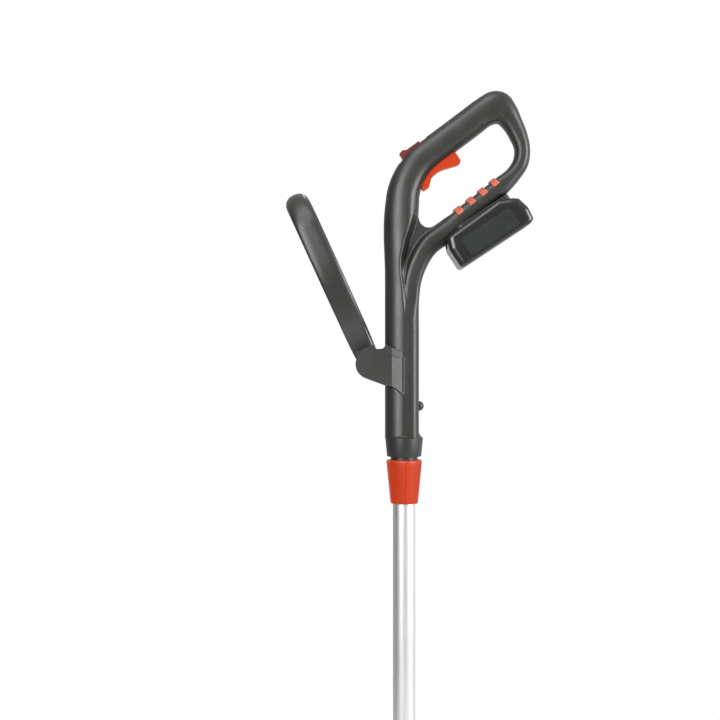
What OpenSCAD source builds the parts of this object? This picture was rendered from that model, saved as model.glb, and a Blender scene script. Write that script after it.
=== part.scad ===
// Cordless grass trimmer: a loop handle with a slide-on battery pack, a swinging second handle,
// a telescopic pole with a twist clamp, and a tilting cutter head.
// The origin is the centre of the ground glide's flat face, under the cutter.
// Z runs up along the pole, -X is ahead of the user and -Y is the user's left.

/* [Pole] */
// Outer diameter of the aluminium tube
tube_d = 30; // [28:0.5:31]
// Wall of the aluminium tube
tube_wall = 1.5; // [1:0.1:2.5]
// Bare tube between the twist collar and the head's socket
tube_shown = 305; // [200:5:420]
// Tube above the lower edge of the twist collar
tube_inside = 205; // [190:1:210]
// Travel of the tube into the handle
tube_in = 100; // [60:1:102]

/* [Twist clamp] */
// Height of the twist collar
collar_h = 58.5; // [45:0.5:65]
// Upper diameter of the twist collar
collar_top_d = 49.5; // [46:0.5:54]
// Lower diameter of the twist collar
collar_foot_d = 37.5; // [36:0.5:42]
// Number of flutes round the twist collar
flute_count = 8; // [6:1:12]
// Diameter of the threaded nose that carries the collar
nose_d = 36; // [35:0.5:38]
// Gap between the collar and the ferrule
nose_gap = 3.3; // [1:0.1:6]
// Height of the ferrule's flange
ferrule_h = 33; // [24:0.5:40]
// Largest diameter of the ferrule
ferrule_d = 52; // [50:0.5:56]

/* [Handle] */
// Front face of the shaft, ahead of the tube's axis
shaft_front = 25.6; // [24:0.1:28]
// Rear face of the shaft, behind the tube's axis
shaft_rear = 19.7; // [19:0.1:23]
// Depth of the shaft from left to right
shaft_depth = 46; // [44:0.5:52]
// Wall of the two handle shells
shell_wall = 2.8; // [2:0.1:3.2]
// Height above the collar at which the shaft starts to bend into the grip
bend_h = 395; // [385:1:405]
// Radius of that bend, on the centre line
bend_r = 88; // [84:1:92]
// Slope of the grip above the horizontal, in degrees
grip_slope = 36.87; // [35.5:0.01:38.5]
// Height of the grip's section
grip_h = 38.9; // [37.5:0.1:41]
// Width of the grip's section
grip_w = 36; // [34:0.5:39]
// Length of the loop behind the bend
loop_len = 115; // [110:1:122]
// Height of the loop between the grip and the lower bar, on centre lines
loop_h = 97; // [93:1:101]
// Thickness of the loop's rear bar
rear_bar_t = 21.2; // [19:0.1:23]
// Width of the loop's rear bar
rear_bar_w = 30; // [28:0.5:33]
// Thickness of the loop's lower bar
lower_bar_t = 26.6; // [25:0.1:28]
// Width of the loop's lower bar
lower_bar_w = 34; // [32:0.5:37]
// Radius of the neck between the lower bar and the shaft, on the centre line
neck_r = 110; // [106:1:114]
// Height above the collar at which the neck leaves the shaft
neck_h = 276; // [268:1:284]
// Number of orange ribs on the lower bar
rib_count = 4; // [2:1:4]
// Spacing of the orange ribs
rib_pitch = 20; // [14:0.5:20]

/* [Trigger] */
// Length of the trigger
trigger_len = 66; // [62:0.5:69]
// Drop of the trigger's nose below the grip
trigger_drop = 12.5; // [10:0.1:14]
// Width of the trigger
trigger_w = 14; // [10:0.5:18]
// Length of the lock button
lock_len = 32; // [26:0.5:36]
// Width of the lock button
lock_w = 14; // [10:0.5:18]
// Travel of the lock button
lock_travel = 5; // [3:0.1:6]

/* [Battery] */
// Length of the battery pack
pack_len = 117; // [112:0.5:124]
// Width of the battery pack
pack_w = 76; // [74:0.5:84]
// Height of the battery pack's body, without its rails
pack_h = 41; // [40:0.5:46]
// Slope of the battery pack, in degrees
pack_slope = 33.4; // [31:0.2:36]
// Diameter of a cell
cell_d = 18.4; // [18:0.1:18.8]
// Length of a cell
cell_len = 65; // [60:0.5:66]
// Number of cells
cell_count = 5; // [3:1:5]
// Wall of the pack's case
pack_wall = 2.5; // [2:0.1:3]

/* [Second handle] */
// Distance of the pivot ahead of the tube's axis
pivot_reach = 44.8; // [44:0.1:50]
// Height of the pivot above the collar
pivot_h = 186; // [170:1:220]
// Length of the second handle from its pivot to its tip
second_len = 246; // [220:1:270]
// Width of the second handle's bar, seen from the side
second_w = 32.5; // [30:0.1:33]
// Outer span of the second handle's loop from left to right
second_span = 122; // [110:1:140]
// Thickness of the loop's arms
arm_t = 15; // [12:0.5:18]
// Tilt of the second handle ahead of upright, in degrees
second_tilt = 24.5; // [20:0.5:40]
// Radius of the bracket's round ears
ear_r = 20; // [19:0.5:21]

/* [Cutter head] */
// Angle between the spindle and the pole, in degrees
head_tilt = 34; // [25:1:45]
// Height of the tilt pin above the ground glide, along the spindle
tilt_pin_h = 146; // [140:1:170]
// Diameter of the tilt pin
tilt_pin_d = 8; // [6:0.5:10]
// Length of the socket above the tilt pin
socket_h = 86; // [76:1:100]
// Diameter of the socket
socket_d = 42; // [39:0.5:46]
// Diameter of the cutting circle
cut_d = 230; // [220:5:240]
// Diameter of the cutter disc
disc_d = 120; // [110:1:130]
// Diameter of the ground glide
glide_d = 52; // [40:1:60]
// Lower diameter of the motor housing
housing_d = 76; // [72:1:84]
// Upper diameter of the motor housing
housing_top_d = 60; // [56:1:68]
// Wall of the motor housing
housing_wall = 2.5; // [2:0.1:3]
// Diameter of the motor can
motor_d = 37; // [34:0.5:40]
// Length of the motor can
motor_len = 57; // [50:1:60]
// Diameter of the spindle
spindle_d = 8; // [6:0.5:9]
// Arc that the guard covers, in degrees
guard_arc = 150; // [110:5:170]
// Diameter of the plant guard's wire
hoop_wire_d = 4.4; // [4:0.1:6]

/* [Hidden] */

$fn = 48;
overrun = 5;
slack = 0.15;
run_gap = 0.3;
pin_gap = 0.05;

orange = "#e0552c";
charcoal = "#42433e";
black = "#2a2b29";
silver = "#d4d5d3";
steel = "#9a9c9e";
copper = "#b5713c";
green = "#2c6b46";

// Frames: the pole's is on the tube's axis at the collar's lower edge, the head's turns about the origin

tube_r = tube_d / 2;
pole_x = -tilt_pin_h * sin(head_tilt);
pole_z = tilt_pin_h * cos(head_tilt) + socket_h + tube_shown;

module pole_frame() {
    translate([pole_x, 0, pole_z]) children();
}

module head_frame() {
    rotate([0, -head_tilt, 0]) children();
}

// Swept forms. A station is [x, z, half height, half depth]; the curve goes through the stations.
// A knot is a place on the curve: [x, z, heading x, heading z, half height, half depth].

rim_steps = 24;
turn_step = 13;
knot_pitch = 24;
shaft_e = 2.2;

function unit(v) = v / norm(v);
function turned(v, a) = [v.x * cos(a) - v.y * sin(a), v.x * sin(a) + v.y * cos(a)];
function mix(a, b, t) = a + (b - a) * t;
function reach(s, i) = norm([s[i + 1][0] - s[i][0], s[i + 1][1] - s[i][1]]);
function slope_at(s, i) =
    i == 0 ? (s[1] - s[0]) / reach(s, 0) :
    i == len(s) - 1 ? (s[i] - s[i - 1]) / reach(s, i - 1) :
    let (p = reach(s, i - 1), q = reach(s, i))
    ((s[i] - s[i - 1]) / p * q + (s[i + 1] - s[i]) / q * p) / (p + q);

function curve(s, i, t) =
    let (d = reach(s, i))
    s[i] * (2 * t * t * t - 3 * t * t + 1) + slope_at(s, i) * d * (t * t * t - 2 * t * t + t)
    + s[i + 1] * (3 * t * t - 2 * t * t * t) + slope_at(s, i + 1) * d * (t * t * t - t * t);
function curve_heading(s, i, t) =
    let (
        d = reach(s, i),
        v = s[i] * (6 * t * t - 6 * t) + slope_at(s, i) * d * (3 * t * t - 4 * t + 1)
            + s[i + 1] * (6 * t - 6 * t * t) + slope_at(s, i + 1) * d * (3 * t * t - 2 * t)
    )
    unit([v[0], v[1]]);
function knot(s, i, t) =
    let (p = curve(s, i, t), u = curve_heading(s, i, t)) [p[0], p[1], u.x, u.y, p[2], p[3]];
function turn_of(s, i) =
    let (u = curve_heading(s, i, 0), v = curve_heading(s, i, 1)) abs(atan2(u.x * v.y - u.y * v.x, u * v));
function steps_of(s, i) = max(1, ceil(reach(s, i) / knot_pitch), ceil(turn_of(s, i) / turn_step));
function knots_of(s) = concat(
    [for (i = [0 : len(s) - 2], k = [0 : steps_of(s, i) - 1]) knot(s, i, k / steps_of(s, i))],
    [knot(s, len(s) - 2, 1)]);

function squared(v, e) = sign(v) * pow(abs(v), 2 / e);
function rim_point(k, a, grow, e) =
    let (h = (k[4] + grow) * squared(cos(a), e), d = (k[5] + grow) * squared(sin(a), e))
    [k[0] - k[3] * h, d, k[1] + k[2] * h];

// Part of a rim, between two of its steps
function arc_rim(k, grow, e, from, to, steps = rim_steps) =
    [for (i = [from : to]) rim_point(k, 360 * i / steps, grow, e)];
function rim(k, grow, e, steps = rim_steps) = arc_rim(k, grow, e, 0, steps - 1, steps);
function backward(list) = [for (i = [len(list) - 1 : -1 : 0]) list[i]];
function strip_rim(k, low, high, e, from, to) =
    concat(arc_rim(k, high, e, from, to), backward(arc_rim(k, low, e, from, to)));

module stitched(rings) {
    n = len(rings[0]);
    last = len(rings) - 1;
    polyhedron([for (r = rings) each r], concat(
        [[for (j = [n - 1 : -1 : 0]) j], [for (j = [0 : n - 1]) last * n + j]],
        [for (i = [0 : last - 1], j = [0 : n - 1]) let (k = (j + 1) % n)
            each [[i * n + j, i * n + k, (i + 1) * n + j], [i * n + k, (i + 1) * n + k, (i + 1) * n + j]]]
    ));
}

// The same for strips: each end is closed by quads between its two arcs
module banded(rings) {
    n = len(rings[0]);
    last = len(rings) - 1;
    polyhedron([for (r = rings) each r], concat(
        [for (j = [0 : n / 2 - 2]) [n - 1 - j, n - 2 - j, j + 1, j]],
        [for (j = [0 : n / 2 - 2]) [for (i = [j, j + 1, n - 2 - j, n - 1 - j]) last * n + i]],
        [for (i = [0 : last - 1], j = [0 : n - 1]) let (k = (j + 1) % n)
            each [[i * n + j, i * n + k, (i + 1) * n + j], [i * n + k, (i + 1) * n + k, (i + 1) * n + j]]]
    ));
}

// Radii of moulded edges
fine_r = 1;
edge_r = 2;
soft_r = 3;
round_r = 5;
wide_r = 12;

// A closed outline whose corners, [x, y, radius], are rounded
corner_step = 15;
function corner_arc(a, c, b) =
    c[2] == 0 ? [[c[0], c[1]]] :
    let (
        u = unit([c[0] - a[0], c[1] - a[1]]),
        v = unit([b[0] - c[0], b[1] - c[1]]),
        turn = atan2(u.x * v.y - u.y * v.x, u * v),
        start = [c[0], c[1]] - u * c[2] * tan(abs(turn) / 2),
        centre = start + turned(u, sign(turn) * 90) * c[2],
        count = ceil(abs(turn) / corner_step)
    )
    [for (k = [0 : count]) centre + turned(start - centre, turn * k / count)];
function rounded(c) =
    [for (i = [0 : len(c) - 1]) each corner_arc(c[(i + len(c) - 1) % len(c)], c[i], c[(i + 1) % len(c)])];

// A slab of an outline drawn in X and Z, centred on Y
module side_slab(points, w) {
    rotate([90, 0, 0]) linear_extrude(w, center = true) polygon(points);
}

module box(size) {
    cube(size, center = true);
}

module y_rod(r, h) {
    rotate([90, 0, 0]) cylinder(r = r, h = h, center = true);
}

module x_rod(r, h) {
    rotate([0, 90, 0]) cylinder(r = r, h = h);
}

module ring_of(r_out, r_in, h) {
    difference() {
        cylinder(r = r_out, h = h);
        translate([0, 0, -overrun]) cylinder(r = r_in, h = h + 2 * overrun);
    }
}

// Screw with a pan head: the head's seat is at the origin and the shank runs down
module screw(shank_r, shank_l, head_r, head_l) {
    translate([0, 0, -shank_l]) cylinder(r = shank_r, h = shank_l);
    cylinder(r = head_r, h = head_l);
}

// Handle: heights, centre lines and sections

ferrule_z = collar_h + nose_gap;
foot_z = ferrule_z + ferrule_h;
ridge_t = 40;
rear_ridge_t = 20;
rear_ridge_w = 40;
front_x = ridge_t / 2 - shaft_front;
rear_x = shaft_rear - rear_ridge_t / 2;
upper_t = 45.3;
upper_x = upper_t / 2 - shaft_front;
straight_drop = 95;
straight_h = bend_h - straight_drop;
blend_share = 0.53;
blend_h = mix(straight_h, bend_h, blend_share);

// The grip's frame: origin at the end of the bend, X along the grip and Z out of the loop
grip_x = upper_x + bend_r * (1 - cos(90 - grip_slope));
grip_z = bend_h + bend_r * sin(90 - grip_slope);
function from_grip(p) = [grip_x, grip_z] + turned(p, grip_slope);
function to_grip(p) = turned([p[0] - grip_x, p[1] - grip_z], -grip_slope);

module grip_frame() {
    pole_frame() translate([grip_x, 0, grip_z]) rotate([0, -grip_slope, 0]) children();
}

// Places round the loop, as shares of its length and its height, with its section's half sizes
loop_shares = [
    [0.41, 0, grip_h / 2, grip_w / 2], [0.826, 0, grip_h / 2, grip_w / 2],
    [0.968, -0.06, grip_h * 0.56, grip_w / 2], [0.997, -0.19, grip_h * 0.45, grip_w * 0.49],
    [0.993, -0.342, rear_bar_t * 0.66, rear_bar_w * 0.54], [0.963, -0.537, rear_bar_t * 0.57, rear_bar_w / 2],
    [0.913, -0.701, rear_bar_t / 2, rear_bar_w / 2], [0.794, -0.854, rear_bar_t / 2, rear_bar_w / 2],
    [0.639, -0.923, rear_bar_t / 2, rear_bar_w / 2], [0.466, -0.948, lower_bar_t * 0.47, lower_bar_w * 0.47],
    [0.217, -0.964, lower_bar_t * 0.49, lower_bar_w / 2], [-0.13, -0.974, lower_bar_t / 2, lower_bar_w / 2],
    [-0.374, -1, lower_bar_t * 0.53, lower_bar_w / 2]
];
bend_shares = [0, 0.25, 0.5, 0.75, 1];
neck_shares = [0.3, 0.55, 0.8, 1];
neck_turn = 52;

function stations(low) = concat(
    [[front_x, low, ridge_t / 2, shaft_depth * 0.48], [front_x, straight_h, ridge_t / 2, shaft_depth * 0.48],
        [mix(front_x, upper_x, 0.6), blend_h, mix(ridge_t, upper_t, 0.6) / 2, shaft_depth * 0.48]],
    [for (t = bend_shares) let (a = t * (90 - grip_slope))
        [upper_x + bend_r * (1 - cos(a)), bend_h + bend_r * sin(a),
            mix(upper_t, grip_h, t) / 2, mix(shaft_depth * 0.96, grip_w, t) / 2]],
    [for (p = loop_shares) let (q = from_grip([p[0] * loop_len, p[1] * loop_h])) [q.x, q.y, p[2], p[3]]],
    [for (t = neck_shares) let (a = (1 - t) * neck_turn)
        [rear_x + neck_r * (1 - cos(a)), neck_h + neck_r * sin(a),
            mix(lower_bar_t * 0.55, rear_ridge_t / 2 * 1.05, t), mix(lower_bar_w, rear_ridge_w, t) / 2]],
    [[rear_x, mix(foot_z, neck_h, 0.7), rear_ridge_t / 2, rear_ridge_w / 2],
        [rear_x, low, rear_ridge_t / 2, rear_ridge_w / 2]]);

// The curve is cut at its rearmost place into the grip's and the neck's part
function rearmost(k) = [for (i = [0 : len(k) - 1]) if (k[i][2] < -0.05) i][0];
handle_knots = knots_of(stations(foot_z));
hollow_knots = knots_of(stations(foot_z - overrun));
grip_knots = [for (i = [0 : rearmost(handle_knots)]) handle_knots[i]];
neck_knots = [for (i = [rearmost(handle_knots) : len(handle_knots) - 1]) handle_knots[i]];
grip_hollow = [for (i = [0 : rearmost(hollow_knots)]) hollow_knots[i]];
neck_hollow = [for (i = [rearmost(hollow_knots) : len(hollow_knots) - 1]) hollow_knots[i]];

// Place along the grip's X axis, and the knot of the lower bar there
function along(k) = to_grip(k).x;
function lower_knot(d) =
    let (j = [for (i = [0 : len(neck_knots) - 2])
        if (along(neck_knots[i]) >= d && along(neck_knots[i + 1]) < d) i][0])
    mix(neck_knots[j], neck_knots[j + 1],
        (d - along(neck_knots[j])) / (along(neck_knots[j + 1]) - along(neck_knots[j])));

module handle_form() {
    stitched([for (k = grip_knots) rim(k, 0, shaft_e)]);
    stitched([for (k = neck_knots) rim(k, 0, shaft_e)]);
}

module handle_hollow() {
    stitched([for (k = grip_hollow) rim(k, -shell_wall, shaft_e)]);
    stitched([for (k = neck_hollow) rim(k, -shell_wall, shaft_e)]);
}

// Handle shells

// The pack's frame: origin at the middle of its top, X along the lower bar and Z towards the bar
pack_place_shares = [0.02, -0.973];
pack_drop = 4;
pack_at = from_grip([pack_place_shares[0] * loop_len,
    pack_place_shares[1] * loop_h - lower_bar_t / 2 - pack_drop]);
function from_pack(p) = pack_at + turned(p, pack_slope);

module pack_frame() {
    pole_frame() translate([pack_at.x, 0, pack_at.y]) rotate([0, -pack_slope, 0]) children();
}

whole = 1200;
dock_gap = 0.5;
dock_h = 9;
dock_w = 50;
dock_from = 0.36 * pack_len;
dock_to = 0.4 * pack_len;
bore_spare = 5;
bore_room = 2.5;
bore_r = tube_r + bore_room;
bore_top = tube_inside + tube_in + bore_spare;
shell_fn = 20;
boss_r = 4;
boss_web = 6;
boss_inset = 5.6;
boss_margin = 26;
screw_r = 1.6;
screw_head_r = 3.1;
screw_head_l = 2.2;
screw_seat = 8;
boss_places = [
    [boss_inset - shaft_front, foot_z + boss_margin], [boss_inset - shaft_front, straight_h - boss_margin],
    from_grip([-0.45 * loop_len, 0]), from_grip([0.58 * loop_len, 0]),
    from_grip([0.97 * loop_len, -0.3 * loop_h]), from_grip([0.82 * loop_len, -0.82 * loop_h])
];

// Room under the lower bar for the dock and the pack
pack_spare = 1;
function dock_plan() = let (y = dock_w / 2) rounded([
    [-dock_from, -y / 2, round_r], [-0.72 * dock_from, -y, wide_r], [dock_to, -y, round_r],
    [dock_to, y, round_r], [-0.72 * dock_from, y, wide_r], [-dock_from, y / 2, round_r]
]);
module dock_room(grow) {
    translate([0, 0, -whole]) linear_extrude(whole + dock_h + slack + grow)
        offset(delta = slack + grow) polygon(dock_plan());
    translate([-pack_len / 2 - pack_spare - grow, -whole / 2, dock_gap + grow - whole])
        cube([whole, whole, whole]);
}

// Plate that fills the corner between the shaft and the lower bar, with a round edge to the hand hole
hole_corner_r = 12.5;
hole_drop = 15;
hole_corner = [upper_x + upper_t / 2 + hole_corner_r, bend_h - hole_drop];
web_w = 26;
module corner_web() {
    difference() {
        side_slab([
            [front_x, straight_h], [front_x, hole_corner.y + hole_corner_r / 2],
            [hole_corner.x - 1.05 * hole_corner_r, hole_corner.y + hole_corner_r / 2],
            [hole_corner.x + 0.57 * hole_corner_r, hole_corner.y - 0.82 * hole_corner_r],
            [hole_corner.x + 2.2 * hole_corner_r, hole_corner.y + 0.3 * hole_corner_r],
            [hole_corner.x + 2 * hole_corner_r, hole_corner.y - hole_corner_r],
            [hole_corner.x + hole_corner_r / 2, hole_corner.y - 2.5 * hole_corner_r]
        ], web_w);
        translate([hole_corner.x, 0, hole_corner.y]) y_rod(hole_corner_r, whole);
    }
}

// Trigger and lock button, in the grip's frame
trigger_pin_r = 2;
trigger_pin_rise = 5.5;
trigger_toe = 10;
trigger_pivot = [-0.226 * loop_len, trigger_pin_rise - grip_h / 2];
trigger_top = 6.4;
slot_gap = 0.5;
pin_post_r = 4.6;
trigger_front = trigger_pivot.x - trigger_toe;
trigger_rear = trigger_front + trigger_len;
trigger_skin = -grip_h / 2;
lock_front = -0.278 * loop_len;
lock_rear = lock_front + lock_len;
switch_size = [28, 16, 14];
spring_r = 3;
spring_wire = 0.8;
switch_rise = 4.6;
switch_spare = 1.85;
switch_at = [lock_rear + 2 * spring_r + switch_spare + switch_size.x / 2, switch_rise];

// Slot through the skin with round corners, open to one side of the grip
slot_corner_r = 1.5;
module skin_slot(from, to, w, low, high) {
    hull() for (x = [from + slot_corner_r, to - slot_corner_r],
        y = [slot_corner_r - w / 2, w / 2 - slot_corner_r])
        translate([x, y, low]) cylinder(r = slot_corner_r, h = high - low, $fn = 12);
}

module trigger_slot() {
    skin_slot(trigger_front - 3 * slot_gap, trigger_rear + 3 * slot_gap, trigger_w + 4 * slot_gap,
        trigger_skin - grip_h, trigger_skin + trigger_top + slot_gap);
}

module lock_slot() {
    skin_slot(lock_front - lock_travel - 3 * slot_gap, lock_rear + 3 * slot_gap, lock_w + 4 * slot_gap,
        grip_h / 4, grip_h);
}

module pin_posts() {
    difference() {
        translate([trigger_pivot.x, 0, trigger_pivot.y]) hull() {
            y_rod(pin_post_r, grip_w);
            translate([0, 0, 2 * pin_post_r]) y_rod(pin_post_r / 2, grip_w);
        }
        box([whole, trigger_w + 4 * slot_gap, whole]);
    }
}

cradle_t = 4;
module switch_cradles() {
    difference() {
        translate([switch_at.x, 0, switch_at.y]) box([switch_size.x - 2 * cradle_t, grip_w,
            switch_size.z - cradle_t]);
        box([whole, switch_size.y + 2 * slack, whole]);
    }
}

stop_rise = 35.2;
stop_h = foot_z + stop_rise;
stud_r = 6.5;
stud_shank_r = 3;
stud_inset = 1.6;
bracket_screw_offsets = [-22, 8];
bracket_screw_places = [for (d = bracket_screw_offsets) pivot_h + d];
bracket_screw_x = -9;
bracket_screw_l = 6;
bracket_screw_seat = 1;

module shell_bosses() {
    for (p = boss_places) translate([p.x, 0, p.y]) hull() {
        y_rod(boss_r, shaft_depth);
        translate([boss_web, 0, 0]) y_rod(boss_r / 2, shaft_depth);
    }
}

module shell_holes() {
    for (p = boss_places) translate([p.x, 0, p.y]) {
        y_rod(screw_r + slack, 2 * (screw_seat + slack));
        translate([0, screw_seat + whole / 2, 0]) y_rod(screw_head_r + run_gap, whole);
    }
    translate([0, 0, foot_z - overrun]) cylinder(r = bore_r, h = bore_top - foot_z + overrun, $fn = 40);
    translate([shaft_rear - stud_inset, 0, stop_h]) {
        x_rod(stud_r + run_gap, shaft_rear);
        translate([-shaft_rear, 0, 0]) x_rod(stud_shank_r + slack, 2 * shaft_rear);
    }
    for (z = bracket_screw_places) translate([bracket_screw_x, shaft_depth / 2, z])
        y_rod(screw_r + slack, 2 * bracket_screw_l);
}

module both_shells() {
    difference() {
        union() {
            difference() {
                union() {
                    handle_form();
                    corner_web();
                }
                handle_hollow();
            }
            intersection() {
                handle_form();
                union() {
                    shell_bosses();
                    translate([grip_x, 0, grip_z]) rotate([0, -grip_slope, 0]) {
                        pin_posts();
                        switch_cradles();
                    }
                }
            }
        }
        shell_holes();
        translate([grip_x, 0, grip_z]) rotate([0, -grip_slope, 0]) {
            trigger_slot();
            lock_slot();
            translate([trigger_pivot.x, 0, trigger_pivot.y])
                y_rod(trigger_pin_r + slack, trigger_w + 2 * pin_post_r + 2 * slack);
        }
    }
}

// The shells keep their wall over the dock
module dock_liner() {
    intersection() {
        handle_form();
        translate([pack_at.x, 0, pack_at.y]) rotate([0, -pack_slope, 0]) difference() {
            dock_room(shell_wall);
            dock_room(0);
        }
    }
}

module half_shell(side) {
    pole_frame() intersection() {
        difference() {
            union() {
                both_shells();
                dock_liner();
            }
            translate([pack_at.x, 0, pack_at.y]) rotate([0, -pack_slope, 0]) dock_room(0);
        }
        translate([0, side * whole / 2, foot_z]) box([whole, whole, 2 * whole]);
    }
}

module left_shell() {
    color(charcoal) half_shell(-1, $fn = shell_fn);
}

module right_shell() {
    color(charcoal) half_shell(1, $fn = shell_fn);
}

module shell_screws() {
    color(steel) pole_frame() for (p = boss_places) translate([p.x, screw_seat, p.y]) rotate([-90, 0, 0])
        screw(screw_r, 2 * screw_seat, screw_head_r, screw_head_l);
}

pad_t = 0.5;
pad_from_share = 0.1;
pad_to_share = 0.84;
pad_steps = 4;
module grip_pad() {
    pad_knots = [for (k = grip_knots) if (k[2] > 1 / 2 && along(k) > pad_from_share * loop_len
        && along(k) < pad_to_share * loop_len) k];
    color(black) pole_frame()
        banded([for (k = pad_knots) strip_rim(k, slack, pad_t, shaft_e, -pad_steps, pad_steps)]);
}

rib_len = 9.5;
rib_t = 2.4;
rib_first_share = -0.113;
rib_steps = 5;
module grip_ribs() {
    color(orange) pole_frame() for (i = [0 : rib_count - 1]) {
        mid = rib_first_share * loop_len + i * rib_pitch;
        banded([for (d = [rib_len / 2, -rib_len / 2])
            strip_rim(lower_knot(mid + d), slack, rib_t, shaft_e, rim_steps / 2 - rib_steps,
                rim_steps / 2 + rib_steps)]);
    }
}

// Trigger, lock button and switch

function trigger_outline() =
    let (f = trigger_front, l = trigger_len, s = trigger_skin, d = trigger_drop) rounded([
        [f + 0.05 * l, s + trigger_top, soft_r], [f, s - 1.3 * d, soft_r],
            [f + 0.155 * l, s - 1.32 * d, soft_r],
        [f + 0.31 * l, s - 0.64 * d, 0.1 * l], [f + 0.52 * l, s - 0.58 * d, 0.3 * l],
        [f + 0.91 * l, s - 1.32 * d, round_r], [f + 0.985 * l, s - 1.1 * d, 0.06 * l],
            [f + l, s + trigger_top, edge_r]
    ]);

module trigger() {
    color(orange) grip_frame() difference() {
        side_slab(trigger_outline(), trigger_w);
        translate([trigger_pivot.x, 0, trigger_pivot.y]) y_rod(trigger_pin_r + pin_gap, whole);
    }
}

module trigger_pin() {
    color(steel) grip_frame() translate([trigger_pivot.x, 0, trigger_pivot.y])
        y_rod(trigger_pin_r, trigger_w + 2 * pin_post_r);
}

module trigger_spring() {
    spring_at = [switch_at.x - switch_size.x / 2 - spring_r - run_gap, trigger_skin + trigger_top + run_gap];
    color(steel) grip_frame() translate([spring_at.x, 0, spring_at.y])
        ring_of(spring_r, spring_r - spring_wire, grip_h / 4 - spring_r / 2 - 2 * run_gap - spring_at.y);
}

lock_rise = 5;
function lock_outline() =
    let (f = lock_front, r = lock_rear, s = grip_h / 2) rounded([
        [f, s / 2, fine_r], [r, s / 2, fine_r], [r, s + 0.44 * lock_rise, edge_r],
        [f + 0.36 * lock_len, s + 0.48 * lock_rise, soft_r], [f + 0.24 * lock_len, s + lock_rise, edge_r],
        [f + 0.03 * lock_len, s + 0.88 * lock_rise, edge_r]
    ]);

module lock_button() {
    color(orange) grip_frame() side_slab(lock_outline(), lock_w);
}

module lock_spring() {
    color(steel) grip_frame() translate([lock_rear + run_gap, 0, grip_h / 4 + spring_r / 2])
        rotate([0, 90, 0]) ring_of(spring_r, spring_r - spring_wire, 2 * spring_r);
}

plunger_r = 2;
plunger_l = 2;
module switch_block() {
    color(black) grip_frame() translate([switch_at.x, 0, switch_at.y]) {
        box(switch_size);
        translate([switch_size.x / 4, 0, -switch_size.z / 2 - plunger_l])
            cylinder(r = plunger_r, h = 2 * plunger_l);
    }
}

// Dock under the lower bar, board and leads. The pack's rails run in the dock's channel.

rail_neck_w = 33;
rail_w = 40;
rail_neck_h = 2.6;
rail_h = 6;
rail_from = 0.24 * pack_len;
rail_to = 0.37 * pack_len;
blade_size = [18, 0.8, 6];
blade_pitch = 9;
blade_x = -0.1 * pack_len;
blade_z = 5.4;
board_size = [0.4 * pack_len, 18, 1.6];
board_x = -0.1 * pack_len;

module battery_dock() {
    color(black) pack_frame() difference() {
        translate([0, 0, dock_gap]) linear_extrude(dock_h - dock_gap) polygon(dock_plan());
        translate([-rail_from - run_gap, -rail_neck_w / 2 - run_gap, -overrun])
            cube([whole, rail_neck_w + 2 * run_gap, overrun + rail_h + run_gap]);
        translate([-rail_from - run_gap, -rail_w / 2 - run_gap, rail_neck_h - run_gap])
            cube([whole, rail_w + 2 * run_gap, rail_h - rail_neck_h + 2 * run_gap]);
        for (y = [-blade_pitch, 0, blade_pitch]) translate([blade_x, y, blade_z])
            box([blade_size.x + 2 * pin_gap, blade_size.y + 2 * pin_gap, blade_size.z + 2 * pin_gap]);
    }
}

module dock_blades() {
    color(copper) pack_frame() for (y = [-blade_pitch, 0, blade_pitch])
        translate([blade_x, y, blade_z]) box(blade_size);
}

module control_board() {
    color(green) pack_frame()
        translate([board_x, 0, dock_h + slack + shell_wall + run_gap + board_size.z / 2]) box(board_size);
}

lead_r = 2.2;
lead_steps = 8;
lead_lift = 7;
lead_y = 4.5;
board_end = board_x - board_size.x / 2 - run_gap - lead_r;
module lead(places, y) {
    translate([0, y, 0]) stitched([for (k = knots_of([for (p = places) [p.x, p.y, lead_r, lead_r]]))
        rim(k, 0, 2, lead_steps)]);
}

function neck_place(a) = [rear_x + neck_r * (1 - cos(a)), neck_h + neck_r * sin(a)];
module switch_lead() {
    color(orange) pole_frame() lead([
        from_pack([board_end, dock_h + lead_lift]), neck_place(0.78 * neck_turn),
            neck_place(0.47 * neck_turn),
        [mix(upper_x, rear_x, 1 / 2), mix(straight_h, blend_h, 0.42)],
        [mix(front_x, upper_x, 1 / 2), blend_h + lead_lift], [upper_x, bend_h],
        from_grip([-0.29 * loop_len, 0]), from_grip([switch_at.x - switch_size.x / 2 - 3.6 * spring_r,
            switch_at.y])
    ], lead_y);
}

module motor_lead() {
    color(black) pole_frame() lead([
        from_pack([board_end, dock_h + lead_lift]), neck_place(0.78 * neck_turn),
            neck_place(0.62 * neck_turn),
        neck_place(0.5 * neck_turn), [lead_r, bore_top + 2 * lead_lift], [0, bore_top + run_gap]
    ], -lead_y);
}

// Battery pack

split_drop = 16;
function pack_side() = let (x = pack_len / 2, z = pack_h) rounded([
    [-0.88 * x, 0, soft_r], [-x, -0.27 * z, soft_r], [-x, -z, round_r], [0.84 * x, -z, round_r],
    [0.965 * x, -0.93 * z, soft_r], [x, -0.52 * z, wide_r], [0.92 * x, -0.11 * z, soft_r],
        [0.84 * x, 0, soft_r]
]);
function pack_plan() = let (x = pack_len / 2, y = pack_w / 2, c = 0.08 * pack_w) [
    [-x, c - y], [c - x, -y], [x - c, -y], [x, c - y], [x, y - c], [x - c, y], [c - x, y], [-x, y - c]
];
function pack_end() = let (y = pack_w / 2, z = pack_h) [
    [-0.94 * y, 0], [-y, -0.12 * z], [-y, -0.86 * z], [-0.86 * y, -z], [0.86 * y, -z], [y, -0.86 * z],
    [y, -0.12 * z], [0.94 * y, 0]
];

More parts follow.
